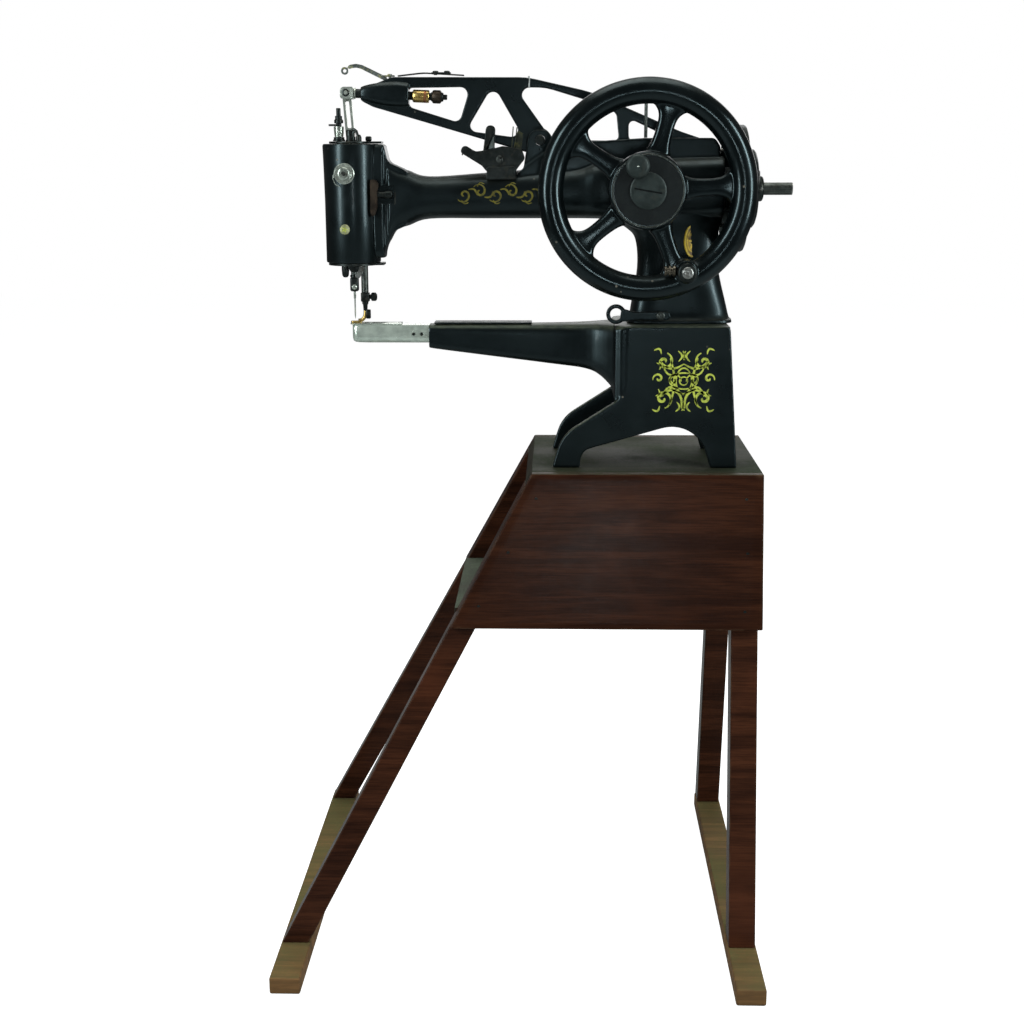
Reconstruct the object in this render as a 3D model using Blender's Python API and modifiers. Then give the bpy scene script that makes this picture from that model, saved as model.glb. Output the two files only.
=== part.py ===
"""Hand-cranked cylinder-arm patching machine on its wooden stand.

Metres, +Z up, +X towards the bare end of the main shaft, +Y away from the operator, who cranks the
big front wheel.  The origin is on the floor under the middle of the whole object.
Every length below is in millimetres, counted from the front edge and top face of the stand's board,
and frame() turns it into world metres.
"""

import math

import bmesh
import bpy
from mathutils import Matrix, Vector

MM = 0.001
GAP = 0.3  # running or resting gap between neighbouring pieces

# --- stand -----------------------------------------------------------------------------------
STAND_HEIGHT = 601.0
BOARD_LEFT, BOARD_RIGHT, BOARD_DEPTH, BOARD_THICK = -35.5, 248.2, 271.3, 16.0
PANEL_HEIGHT, PANEL_THICK = 187.1, 13.7
SPLAY, LEAN = 0.1985, 0.5355  # outward slope of the legs per unit of height, in Y and (left legs) in X
LEG_WIDE, LEG_DEEP = 33.0, 34.0
RIGHT_LEG_LEFT = 210.9
RUNNER_THICK = 21.6
RUNNER_RIGHT, RUNNER_LEFT = (209.9, 245.9), (-347.4, -310.1)
RUNNER_FRONT_RIGHT, RUNNER_FRONT_LEFT, RUNNER_REAR = -197.6, -184.9, 376.0
SHELF_TOP, SHELF_LEFT = -175.0, -133.0

# --- machine ---------------------------------------------------------------------------------
MID = 108.0  # the machine's middle plane in Y
BASE_FRONT, BASE_REAR, BASE_TOP = 38.0, 178.0, 176.0
SHAFT_Z = 338.8  # height of the main shaft and of the wheel's axis
SHAFT_R, SHAFT_END = 7.6, 284.6
WHEEL_X, WHEEL_Y = 101.0, 14.0
WHEEL_RIM_R, WHEEL_TUBE_R = 114.4, 15.0
SPOKE_ANGLES = (75.0, 3.0, -69.0, -141.0, 147.0)
KNOB_OFFSET = (-13.0, 28.2)
CRANK_OFFSET = (46.5, -93.6)
GEAR_R, GEAR_TEETH = 20.0, 16
HEAD_X, HEAD_R, HEAD_LOW, HEAD_HIGH = -261.0, 34.0, 249.5, 394.0
PRESSER_X, PRESSER_R = -248.0, 4.5
NEEDLE_BAR_R, NEEDLE_R, NEEDLE_TIP = 4.2, 0.9, 178.0
PIVOT_X, PIVOT_Z, PIVOT_R = -27.0, 398.0, 6.0
BEAM_THICK = 14.0
ROD_X, ROD_Z, ROD_R, ROD_TILT = -250.0, 454.2, 5.5, 2.6
LINK_TOP = (-265.0, 455.0)
LINK_LOW_Z = 404.0
SWIVEL_R = 6.4
TIP_LEFT, TIP_RIGHT, TIP_LOW, TIP_TOP, TIP_HALF = -264.0, -166.3, 148.6, 171.6, 14.0
SHUTTLE_X, SHUTTLE_R = -249.5, 9.5
PINION_R, PINION_TEETH = 6.2, 12
LEVER_X, LEVER_Z = 150.0, 258.0
DISC_LEFT, DISC_RIGHT, DISC_R = 201.0, 228.7, 77.0

CENTRE_X = (RUNNER_LEFT[0] + SHAFT_END) / 2
CENTRE_Y = (RUNNER_FRONT_RIGHT + RUNNER_REAR) / 2

FINISHES = {  # colour, roughness, metallic
    "japan": ((0.012, 0.014, 0.018), 0.22, 0.0),
    "stained_wood": ((0.060, 0.020, 0.012), 0.42, 0.0),
    "dusty_wood": ((0.120, 0.115, 0.085), 0.80, 0.0),
    "steel": ((0.34, 0.34, 0.32), 0.32, 1.0),
    "nickel": ((0.62, 0.62, 0.58), 0.18, 1.0),
    "dark_steel": ((0.060, 0.062, 0.060), 0.42, 0.9),
    "brown_steel": ((0.120, 0.085, 0.055), 0.50, 0.8),
    "brass": ((0.60, 0.42, 0.16), 0.28, 1.0),
}

for old in list(bpy.data.objects):
    bpy.data.objects.remove(old, do_unlink=True)

PARTS = bpy.data.collections.new("patching_machine")
TOOLS = bpy.data.collections.new("cutters")
for collection in (PARTS, TOOLS):
    bpy.context.scene.collection.children.link(collection)


# --- helpers ---------------------------------------------------------------------------------
def frame(point):
    x, y, z = point
    return Vector(((x - CENTRE_X) * MM, (y - CENTRE_Y) * MM, (z + STAND_HEIGHT) * MM))


class Body:
    """A rigid body: an empty on its joint axis, that its pieces are parented to."""

    def __init__(self, name, pivot, parent=None):
        self.origin = frame(pivot)
        self.empty = bpy.data.objects.new(name, None)
        PARTS.objects.link(self.empty)
        start = Vector((0, 0, 0))
        if parent:
            self.empty.parent = parent.empty
            start = parent.origin
        self.empty.location = self.origin - start


ROOT = Body("root_frame", (CENTRE_X, CENTRE_Y, -STAND_HEIGHT))


def finish_object(obj, name, finish, smooth):
    colour, rough, metal = FINISHES[finish]
    material = bpy.data.materials.new(name)
    material.use_nodes = True
    shader = material.node_tree.nodes["Principled BSDF"]
    shader.inputs["Base Color"].default_value = (*colour, 1.0)
    shader.inputs["Roughness"].default_value = rough
    shader.inputs["Metallic"].default_value = metal
    obj.data.materials.clear()
    obj.data.materials.append(material)
    if smooth:
        obj.data.shade_smooth()
        obj.data.set_sharp_from_angle(angle=math.radians(35))


def from_bmesh(name, bm, finish, body, smooth=False):
    """A piece whose mesh was drawn in millimetres of the board's frame."""
    bmesh.ops.recalc_face_normals(bm, faces=bm.faces)
    if bm.calc_volume(signed=True) < 0:
        bmesh.ops.reverse_faces(bm, faces=bm.faces)
    mesh = bpy.data.meshes.new(name)
    origin = body.origin if body else Vector((0, 0, 0))
    for vertex in bm.verts:
        vertex.co = frame(vertex.co) - origin
    bm.to_mesh(mesh)
    bm.free()
    obj = bpy.data.objects.new(name, mesh)
    if body:
        PARTS.objects.link(obj)
        obj.parent = body.empty
        finish_object(obj, name, finish, smooth)
    else:
        TOOLS.objects.link(obj)
        obj.hide_render = True
        obj.display_type = "WIRE"
    return obj


def block_mesh(low, high):
    bm = bmesh.new()
    bmesh.ops.create_cube(bm, size=1.0)
    for vertex in bm.verts:
        for axis in range(3):
            vertex.co[axis] = high[axis] if vertex.co[axis] > 0 else low[axis]
    return bm


def block(name, low, high, finish="japan", body=ROOT, bevel=0.0):
    obj = from_bmesh(name, block_mesh(low, high), finish, body)
    if bevel:
        add_bevel(obj, bevel)
    return obj


def block_tool(name, low, high):
    return from_bmesh(name, block_mesh(low, high), None, None)


def slanted_block(name, z_low, z_high, x_low, x_high, y_low, y_high, finish, bevel=1.0):
    """A block whose lower and upper ends are different rectangles, such as a splayed leg."""
    bm = bmesh.new()
    bmesh.ops.create_cube(bm, size=1.0)
    for vertex in bm.verts:
        upper = vertex.co.z > 0
        xs = x_high if upper else x_low
        ys = y_high if upper else y_low
        vertex.co = Vector((xs[vertex.co.x > 0], ys[vertex.co.y > 0], z_high if upper else z_low))
    obj = from_bmesh(name, bm, finish, ROOT)
    if bevel:
        add_bevel(obj, bevel)
    return obj


def add_bevel(obj, width, segments=1, angle=40):
    bevel = obj.modifiers.new("rounded_edges", "BEVEL")
    bevel.width = width * MM
    bevel.segments = segments
    bevel.limit_method = "ANGLE"
    bevel.angle_limit = math.radians(angle)


AXIS_TURN = {
    "X": Matrix.Rotation(math.radians(90), 4, "Y"),
    "Y": Matrix.Rotation(math.radians(-90), 4, "X"),
    "Z": Matrix.Identity(4),
}


def rod_mesh(axis, centre, radius, start, end, sides, end_radius=None):
    """A cylinder or cone; centre gives the two coordinates across the axis, in X, Y, Z order."""
    bm = bmesh.new()
    far = radius if end_radius is None else end_radius
    bmesh.ops.create_cone(
        bm, cap_ends=True, segments=sides, radius1=radius, radius2=far, depth=end - start
    )
    middle = (start + end) / 2
    spot = {
        "X": (middle, centre[0], centre[1]),
        "Y": (centre[0], middle, centre[1]),
        "Z": (centre[0], centre[1], middle),
    }[axis]
    bm.transform(Matrix.Translation(spot) @ AXIS_TURN[axis])
    return bm


def rod(name, axis, centre, radius, start, end, finish, body=ROOT, sides=24, end_radius=None):
    bm = rod_mesh(axis, centre, radius, start, end, sides, end_radius)
    return from_bmesh(name, bm, finish, body, smooth=True)


def rod_tool(name, axis, centre, radius, start, end, sides=32, end_radius=None):
    return from_bmesh(name, rod_mesh(axis, centre, radius, start, end, sides, end_radius), None, None)


def turned(name, axis, centre, profile, finish, body, steps=40):
    """A turned piece.  profile is (radius, place along the axis), down the outer side."""
    closed = profile[0][0] > 0
    mesh = bpy.data.meshes.new(name)
    points = [(radius * MM, 0.0, along * MM) for radius, along in profile]
    edges = [(i, i + 1) for i in range(len(points) - 1)]
    if closed:
        edges.append((len(points) - 1, 0))
    mesh.from_pydata(points, edges, [])
    obj = bpy.data.objects.new(name, mesh)
    spot = {"X": (0, *centre), "Y": (centre[0], 0, centre[1]), "Z": (*centre, 0)}[axis]
    if body:
        PARTS.objects.link(obj)
        obj.parent = body.empty
        obj.location = frame(spot) - body.origin
        finish_object(obj, name, finish, False)
    else:
        TOOLS.objects.link(obj)
        obj.hide_render = True
        obj.display_type = "WIRE"
        obj.location = frame(spot)
    obj.rotation_euler = AXIS_TURN[axis].to_euler()
    screw = obj.modifiers.new("turned", "SCREW")
    screw.axis = "Z"
    screw.angle = math.radians(360)
    screw.steps = steps
    screw.render_steps = steps
    screw.use_merge_vertices = True
    screw.merge_threshold = 0.00001
    screw.use_smooth_shade = True
    return obj


def filleted(corners, step_deg=24):
    """Corners given as (x, z) or (x, z, radius) turned into an outline with arcs."""
    points = []
    count = len(corners)
    for i, corner in enumerate(corners):
        here = Vector(corner[:2])
        radius = corner[2] if len(corner) > 2 else 0
        if not radius:
            points.append(here)
            continue
        back = (Vector(corners[i - 1][:2]) - here).normalized()
        ahead = (Vector(corners[(i + 1) % count][:2]) - here).normalized()
        half = back.angle(ahead) / 2
        centre = here + (back + ahead).normalized() * (radius / math.sin(half))
        first = here + back * (radius / math.tan(half)) - centre
        last = here + ahead * (radius / math.tan(half)) - centre
        sweep = first.angle_signed(last)
        steps = max(2, round(abs(math.degrees(sweep)) / step_deg))
        for k in range(steps + 1):
            turn = -sweep * k / steps
            c, s = math.cos(turn), math.sin(turn)
            points.append(centre + Vector((first.x * c - first.y * s, first.x * s + first.y * c)))
    return points


def ring(x, z, radius, sides=12):
    return [
        Vector((x + radius * math.cos(math.tau * k / sides), z + radius * math.sin(math.tau * k / sides)))
        for k in range(sides)
    ]


def plate(name, outlines, low, high, finish=None, body=None, plane="XZ"):
    """A flat piece between two planes: the first outline is its edge, the others are holes.

    plane XZ lies across Y, XY lies across Z and YZ lies across X.
    """
    curve = bpy.data.curves.new(name, "CURVE")
    curve.dimensions = "2D"
    curve.fill_mode = "BOTH"
    curve.extrude = (high - low) / 2
    for outline in outlines:
        spline = curve.splines.new("POLY")
        spline.points.add(len(outline) - 1)
        for point, corner in zip(spline.points, outline):
            point.co = (corner[0], corner[1], 0, 1)
        spline.use_cyclic_u = True
    drawing = bpy.data.objects.new(name + "_drawing", curve)
    TOOLS.objects.link(drawing)
    graph = bpy.context.evaluated_depsgraph_get()
    mesh = bpy.data.meshes.new_from_object(drawing.evaluated_get(graph))
    bpy.data.objects.remove(drawing, do_unlink=True)
    bm = bmesh.new()
    bm.from_mesh(mesh)
    bmesh.ops.remove_doubles(bm, verts=bm.verts, dist=0.001)
    middle = (low + high) / 2
    for vertex in bm.verts:
        a, b, c = vertex.co
        vertex.co = {
            "XZ": Vector((a, middle - c, b)),
            "XY": Vector((a, b, middle + c)),
            "YZ": Vector((middle + c, a, b)),
        }[plane]
    return from_bmesh(name, bm, finish, body, smooth=bool(body))


def tube(name, points, radius, finish, body, resolution=2):
    """A bent round wire or rod through the points."""
    curve = bpy.data.curves.new(name, "CURVE")
    curve.dimensions = "3D"
    curve.bevel_depth = radius
    curve.bevel_resolution = resolution
    curve.use_fill_caps = True
    spline = curve.splines.new("POLY")
    spline.points.add(len(points) - 1)
    for point, place in zip(spline.points, points):
        point.co = (*place, 1)
    drawing = bpy.data.objects.new(name + "_drawing", curve)
    TOOLS.objects.link(drawing)
    graph = bpy.context.evaluated_depsgraph_get()
    mesh = bpy.data.meshes.new_from_object(drawing.evaluated_get(graph))
    bpy.data.objects.remove(drawing, do_unlink=True)
    bm = bmesh.new()
    bm.from_mesh(mesh)
    bmesh.ops.remove_doubles(bm, verts=bm.verts, dist=0.001)
    return from_bmesh(name, bm, finish, body, smooth=True)


def loft(name, axis, sections, finish=None, body=None, sides=24):
    """Rounded sections joined along an axis.

    A section is (place, low, high, half_depth, squareness): low and high are its extent in Z when the
    axis is X, or in X when the axis is Z; half_depth is its half width in Y about the middle plane.
    """
    bm = bmesh.new()
    rings = []
    for place, low, high, half_depth, square in sections:
        loop = []
        for k in range(sides):
            turn = math.tau * (k + 0.5) / sides
            c, s = math.cos(turn), math.sin(turn)
            power = 2 / square
            across = (low + high) / 2 + (high - low) / 2 * math.copysign(abs(c) ** power, c)
            depth = MID + half_depth * math.copysign(abs(s) ** power, s)
            spot = (place, depth, across) if axis == "X" else (across, depth, place)
            loop.append(bm.verts.new(spot))
        rings.append(loop)
    for lower, upper in zip(rings, rings[1:]):
        for k in range(sides):
            bm.faces.new((lower[k], lower[k - 1], upper[k - 1], upper[k]))
    bm.faces.new(rings[0])
    bm.faces.new(list(reversed(rings[-1])))
    return from_bmesh(name, bm, finish, body, smooth=bool(body))


def join(obj, *tools):
    for tool in tools:
        modifier = obj.modifiers.new("join_" + tool.name, "BOOLEAN")
        modifier.operation = "UNION"
        modifier.object = tool
    return obj


def cut(obj, *tools):
    for tool in tools:
        modifier = obj.modifiers.new("cut_" + tool.name, "BOOLEAN")
        modifier.operation = "DIFFERENCE"
        modifier.object = tool
    return obj


# --- wooden stand ----------------------------------------------------------------------------
def splayed(y, z):
    """Where a line that starts at depth y on the board's top has splayed to at height z."""
    return y + SPLAY * z


def mirrored(pair):
    return (BOARD_DEPTH - pair[1], BOARD_DEPTH - pair[0])


def leaning(x, z):
    return x + LEAN * z


def build_stand():
    low, under = -PANEL_HEIGHT, -BOARD_THICK
    top_y = (PANEL_THICK + GAP, BOARD_DEPTH - PANEL_THICK - GAP)
    slanted_block(
        "stand_top_board", under, 0.0,
        (leaning(BOARD_LEFT, under), BOARD_RIGHT), (BOARD_LEFT, BOARD_RIGHT),
        (splayed(top_y[0], under), top_y[1] - SPLAY * under), top_y, "dusty_wood",
    )
    panel_x = (BOARD_LEFT, BOARD_RIGHT), (leaning(BOARD_LEFT, low), BOARD_RIGHT)
    panel_y = (0.0, PANEL_THICK), (splayed(0.0, low), splayed(PANEL_THICK, low))
    slanted_block("stand_front_panel", low, 0.0, panel_x[1], panel_x[0], panel_y[1], panel_y[0],
                  "stained_wood")
    slanted_block("stand_rear_panel", low, 0.0, panel_x[1], panel_x[0], mirrored(panel_y[1]),
                  mirrored(panel_y[0]), "stained_wood")
    foot, head = -STAND_HEIGHT + RUNNER_THICK + GAP, under - GAP
    leg_y = PANEL_THICK + GAP, PANEL_THICK + GAP + LEG_DEEP
    foot_y = splayed(leg_y[0], foot), splayed(leg_y[1], foot)
    head_y = splayed(leg_y[0], head), splayed(leg_y[1], head)
    left_foot = leaning(BOARD_LEFT, foot), leaning(BOARD_LEFT, foot) + LEG_WIDE
    left_head = leaning(BOARD_LEFT, head), leaning(BOARD_LEFT, head) + LEG_WIDE
    right = RIGHT_LEG_LEFT, RIGHT_LEG_LEFT + LEG_WIDE
    for side, x_foot, x_head in (("left", left_foot, left_head), ("right", right, right)):
        slanted_block("leg_front_" + side, foot, head, x_foot, x_head, foot_y, head_y, "stained_wood")
        slanted_block("leg_rear_" + side, foot, head, x_foot, x_head, mirrored(foot_y),
                      mirrored(head_y), "stained_wood")
    for side, xs, front in (
        ("left", RUNNER_LEFT, RUNNER_FRONT_LEFT),
        ("right", RUNNER_RIGHT, RUNNER_FRONT_RIGHT),
    ):
        block("runner_" + side, (xs[0], front, -STAND_HEIGHT),
              (xs[1], RUNNER_REAR, -STAND_HEIGHT + RUNNER_THICK), "dusty_wood", bevel=1.5)
    build_shelf(leg_y)


def build_shelf(leg_y):
    """The shelf fills the box between the panels, with its corners cut away round the legs."""
    front = splayed(PANEL_THICK, SHELF_TOP) + 2 * GAP
    rear = BOARD_DEPTH - front
    leg_rear = splayed(leg_y[1], SHELF_TOP) + GAP
    leg_right = leaning(BOARD_LEFT, SHELF_TOP) + LEG_WIDE + GAP
    leg_left = RIGHT_LEG_LEFT - GAP
    outline = [
        (leg_right, front), (leg_left, front), (leg_left, leg_rear), (BOARD_RIGHT, leg_rear),
        (BOARD_RIGHT, BOARD_DEPTH - leg_rear), (leg_left, BOARD_DEPTH - leg_rear), (leg_left, rear),
        (leg_right, rear), (leg_right, BOARD_DEPTH - leg_rear), (SHELF_LEFT, BOARD_DEPTH - leg_rear),
        (SHELF_LEFT, leg_rear), (leg_right, leg_rear),
    ]
    plate("stand_shelf", [outline], -PANEL_HEIGHT, SHELF_TOP, "dusty_wood", ROOT, plane="XY")


# --- base casting with the cylinder arm ------------------------------------------------------
def build_base():
    side = filleted([
        (80.5, BASE_TOP, 5), (206.5, BASE_TOP, 5), (218.8, GAP), (186.0, GAP), (167.0, 62.0, 44),
        (26.0, 21.5, 16), (24.0, GAP), (-10.4, GAP), (1.5, 40.7, 50), (80.5, 91.4, 31),
    ])
    base = plate("base_casting", [side], BASE_FRONT, BASE_FRONT + 8, "japan", ROOT)
    rear = plate("base_rear_plate", [side], BASE_REAR - 8, BASE_REAR)
    top = plate(
        "base_top_plate",
        [filleted([(66, BASE_FRONT + 1, 14), (206.3, BASE_FRONT + 1, 3), (206.3, BASE_REAR - 1, 3),
                   (66, BASE_REAR - 1, 14)])],
        BASE_TOP - 11, BASE_TOP - 0.4, plane="XY",
    )
    right_wall = block_tool("base_right_wall", (199, BASE_FRONT + 4, 84), (206, BASE_REAR - 4, BASE_TOP - 4))
    left_wall = block_tool("base_left_wall", (66, BASE_FRONT + 4, 92), (75, BASE_REAR - 4, BASE_TOP - 4))
    arm = loft("base_cylinder_arm", "X", [
        (-166.0, 143.6, 171.6, 17.0, 5), (-160.0, 141.0, 171.8, 18.0, 5),
        (-10.0, 122.7, 173.0, 23.0, 5), (32.0, 117.5, 174.0, 28.0, 5),
        (52.0, 108.0, 175.0, 36.0, 5), (72.0, 88.0, 175.4, 52.0, 6),
    ], sides=24)
    join(base, rear, top, right_wall, left_wall, arm)
    cut(
        base,
        block_tool("arm_channel", (-170, MID - 11.3, 149), (156, MID + 11.3, 160)),
        block_tool("arm_access", (-152, MID - 9, 155), (-50, MID + 9, 180)),
        block_tool("lever_slot", (118, MID - 9, 140), (170, MID + 9, 180)),
        rod_tool("lift_screw_hole", "Y", (122.0, 160.0), 2.0, 30, 50, sides=10),
    )
    block("arm_cover_plate", (-160, MID - 13, 172.8 + GAP), (-37, MID + 13, 174.8 + GAP), "japan",
          bevel=0.6)
    build_arm_tip()


def build_arm_tip():
    """The polished steel end of the cylinder arm, with the plates that close its top."""
    low, high = (TIP_LEFT, MID - TIP_HALF, TIP_LOW), (TIP_RIGHT, MID + TIP_HALF, TIP_TOP)
    shell = block("arm_tip_shell", low, high, "nickel")
    add_bevel(shell, 4.0, segments=2)
    cut(
        shell,
        block_tool("tip_hollow", (TIP_LEFT + 1.2, MID - 11.3, 151.5), (TIP_RIGHT + 5, MID + 11.3, 168.2)),
        block_tool("tip_mouth", (TIP_LEFT + 1.2, MID - 10.5, 160), (-206, MID + 10.5, 180)),
    )
    needle_plate = plate(
        "needle_plate",
        [filleted([(-267, MID - 12, 9), (-241, MID - 12), (-241, MID + 12), (-267, MID + 12, 9)]),
         ring(HEAD_X, MID, 1.7, 10)],
        TIP_TOP + GAP, TIP_TOP + 1.6, "nickel", ROOT, plane="XY",
    )
    add_bevel(needle_plate, 0.3)
    slide = Body("slide_plate_body", (-220, MID, TIP_TOP))
    block("slide_plate", (-240.6, MID - 12, TIP_TOP + GAP), (-202, MID + 12, TIP_TOP + 1.6), "nickel",
          slide, bevel=0.3)


# --- shuttle drive ---------------------------------------------------------------------------
def toothed(x, y, radius, teeth, depth, share, offset=0.0):
    """Outline of a small spur gear: tooth flanks taper from share of the pitch to half of it."""
    points = []
    for k in range(teeth):
        for angle, reach in (
            (-share / 2, -depth), (-share / 4, depth * 0.8), (share / 4, depth * 0.8), (share / 2, -depth)
        ):
            turn = math.tau * (k + offset + angle) / teeth
            points.append(Vector((x + (radius + reach) * math.cos(turn),
                                  y + (radius + reach) * math.sin(turn))))
    return points


def build_shuttle_drive():
    carrier = Body("shuttle_body", (SHUTTLE_X, MID, 155))
    gear = plate(
        "shuttle_pinion",
        [toothed(SHUTTLE_X, MID, PINION_R, PINION_TEETH, 1.1, 0.62, offset=0.5)],
        152.2, 157.0, plane="XY",
    )
    shuttle = turned("shuttle", "Z", (SHUTTLE_X, MID), [
        (0, 167.6), (4.0, 167.6), (4.0, 166.6), (SHUTTLE_R - 1, 166.6), (SHUTTLE_R, 165.6),
        (SHUTTLE_R, 160.6), (SHUTTLE_R - 1, 159.2), (3.5, 159.2), (3.5, 156.5), (0, 156.5),
    ], "steel", carrier, steps=16)
    join(shuttle, gear)
    rack_body = Body("rack_body", (0, MID, 154))
    pitch = math.tau * PINION_R / PINION_TEETH
    pitch_line = MID - PINION_R
    teeth = []
    for k in range(-1, 3):
        middle = SHUTTLE_X + k * pitch
        teeth += [
            (middle - pitch * 0.20, pitch_line - 1.25), (middle - pitch * 0.10, pitch_line + 0.8),
            (middle + pitch * 0.10, pitch_line + 0.8), (middle + pitch * 0.20, pitch_line - 1.25),
        ]
    start, back = -256.0, pitch_line - 4.6
    outline = [(start, back), (start, pitch_line - 1.25)] + teeth + [
        (-232.0, pitch_line - 1.25), (120.0, pitch_line - 1.25), (128.0, MID + 9), (148.0, MID + 9),
        (148.0, back),
    ]
    slot = [(131.6, MID - 4.6), (143.9, MID - 4.6), (143.9, MID + 4.6), (131.6, MID + 4.6)]
    plate("shuttle_rack", [outline, slot], 152.2, 156.8, "steel", rack_body, plane="XY")
    build_shuttle_lever()


def build_shuttle_lever():
    body = Body("shuttle_lever_body", (LEVER_X, MID, LEVER_Z))
    lever = plate(
        "shuttle_lever",
        [filleted([(132.4, 149.5, 4.4), (141.6, 149.5, 4.4), (158.0, 250.0, 9), (192.0, 288.0, 4),
                   (192.0, 300.0, 5), (178.0, 300.0, 6), (141.0, 266.0, 8)])],
        MID - 4, MID + 4, "dark_steel", body,
    )
    join(lever, rod_tool("lever_stud", "X", (MID, 294.5), 2.5, 190.0, 205.0, sides=12),
         rod_tool("lever_roller", "X", (MID, 294.5), 4.4, 204.5, 209.4, sides=14),
         rod_tool("lever_trunnion", "Y", (LEVER_X, LEVER_Z), 4.0, MID - 22, MID + 22, sides=14))


# --- upper casting: column, arm and head seat ------------------------------------------------
def build_arm():
    arm = loft("arm_casting", "X", [
        (-233.0, 255.0, 394.0, 20.0, 7), (-221.0, 256.0, 394.0, 21.0, 7),
        (-214.0, 276.0, 371.0, 22.0, 4), (-205.0, 290.5, 365.5, 23.0, 3),
        (-190.0, 295.0, 362.0, 24.0, 2.6), (-164.0, 303.0, 354.6, 25.0, 2.3),
        (-94.0, 303.3, 359.0, 27.0, 2.2), (20.0, 303.3, 368.0, 33.0, 2.4),
        (60.0, 303.0, 374.0, 38.0, 3.2), (188.0, 303.0, 378.0, 38.0, 3.6),
        (193.0, 306.0, 375.0, 35.0, 3.6),
    ], "japan", ROOT, sides=20)
    rib = plate("arm_rib", [filleted([
        (-62.0, 350.0), (-46.0, 366.0, 14), (-20.0, 384.0, 20), (34.0, 396.0, 60), (100.0, 400.0),
        (186.0, 400.0, 8), (193.0, 390.0, 6), (192.6, 340.0),
    ])], MID - 22, MID + 22)
    column = loft("arm_column", "Z", [
        (BASE_TOP + GAP, 82.0, 213.0, 42.0, 5), (184.0, 82.0, 213.0, 42.0, 5),
        (189.0, 86.0, 208.5, 35.0, 4), (243.0, 95.0, 195.5, 30.0, 3.4), (278.0, 92.0, 195.0, 31.0, 3.2),
        (292.0, 80.0, 195.5, 32.0, 3.2), (303.5, 62.0, 199.0, 33.0, 3.2), (330.0, 60.0, 192.0, 33.0, 3.2),
    ])
    ear = filleted([(PIVOT_X - 22, 352), (PIVOT_X - 13, PIVOT_Z + 12, 12), (PIVOT_X + 13, PIVOT_Z + 12, 12),
                    (PIVOT_X + 24, 352)])
    ears = [
        plate("pivot_ear_front", [ear], MID - 20, MID - 8),
        plate("pivot_ear_rear", [ear], MID + 8, MID + 20),
    ]
    boss = rod_tool("wheel_boss", "Y", (WHEEL_X, SHAFT_Z), 26.0, 46.0, 82.0)
    end_boss = rod_tool("shaft_boss", "X", (MID, SHAFT_Z), 20.0, 188.0, 197.0)
    join(arm, rib, column, *ears, boss, end_boss)
    cut(
        arm,
        rod_tool("head_seat", "Z", (HEAD_X, MID), HEAD_R + 0.5, 240, 410, sides=44),
        block_tool("beam_trough", (-52, MID - 8, 370.5), (210, MID + 8, 420)),
        block_tool("gear_cavity", (76, 78, 313), (184, 152, 367)),
        block_tool("lever_cavity", (118, MID - 9, 150), (188, MID + 9, 330)),
        block_tool("follower_slot", (180, MID - 9, 276), (210, MID + 9, 308)),
        block_tool("tail_slot", (166, MID - 8, 362), (210, MID + 8, 420)),
        rod_tool("wheel_bore", "Y", (WHEEL_X, SHAFT_Z), 15.3, 40, 90, sides=24),
        rod_tool("shaft_bore", "X", (MID, SHAFT_Z), 13.3, 180, 205, sides=24),
        rod_tool("pivot_bore", "Y", (PIVOT_X, PIVOT_Z), PIVOT_R + GAP, 80, 140, sides=18),
        rod_tool("lever_bore", "Y", (LEVER_X, LEVER_Z), 4.3, 60, 150, sides=14),
        block_tool("feed_window", (-240, 70, 300), (-206, 99, 352)),
    )
    rod("beam_pivot_pin", "Y", (PIVOT_X, PIVOT_Z), PIVOT_R, MID - 23, MID + 23, "steel", sides=18)
    block("rear_cover_plate", (70, 146 + GAP, 309), (189, 149, 371), "japan", bevel=1.0)
    turned("wheel_bearing", "Y", (WHEEL_X, SHAFT_Z),
           [(15.0, 77.7), (15.0, 45.0), (9.3, 45.0), (9.3, 77.7)], "steel", ROOT, steps=22)
    turned("shaft_bearing", "X", (MID, SHAFT_Z),
           [(13.0, 199.0), (13.0, 184.3), (8.0, 184.3), (8.0, 199.0)], "steel", ROOT, steps=22)
    rod("spool_pin", "Z", (102.0, MID - 16), 2.1, 400.0 + GAP, 462.0, "steel", sides=10)


# --- hand wheel, bevel gears and main shaft --------------------------------------------------
def bevel_gear(name, axis, centre, face, toward, offset):
    """A mitre gear.  face is where its pitch circle lies along its axis; toward is +1 or -1."""
    bore = 4.0
    root_big, root_small = GEAR_R - 2.0, GEAR_R - 8.5
    profile = [
        (bore, face - toward * 8.0), (root_big - 4, face - toward * 8.0),
        (root_big + 0.5, face - toward * 2.0), (root_small, face + toward * 6.5),
        (bore, face + toward * 6.5),
    ]
    if toward > 0:  # turned() takes a profile that runs down its outer side
        profile.reverse()
    gear = turned(name, axis, centre, profile, None, None, steps=GEAR_TEETH * 2)
    teeth = [
        tooth_tool(f"{name}_tooth_{k}", axis, centre, face, toward, math.tau * (k + offset) / GEAR_TEETH)
        for k in range(GEAR_TEETH)
    ]
    return [gear] + teeth


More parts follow.
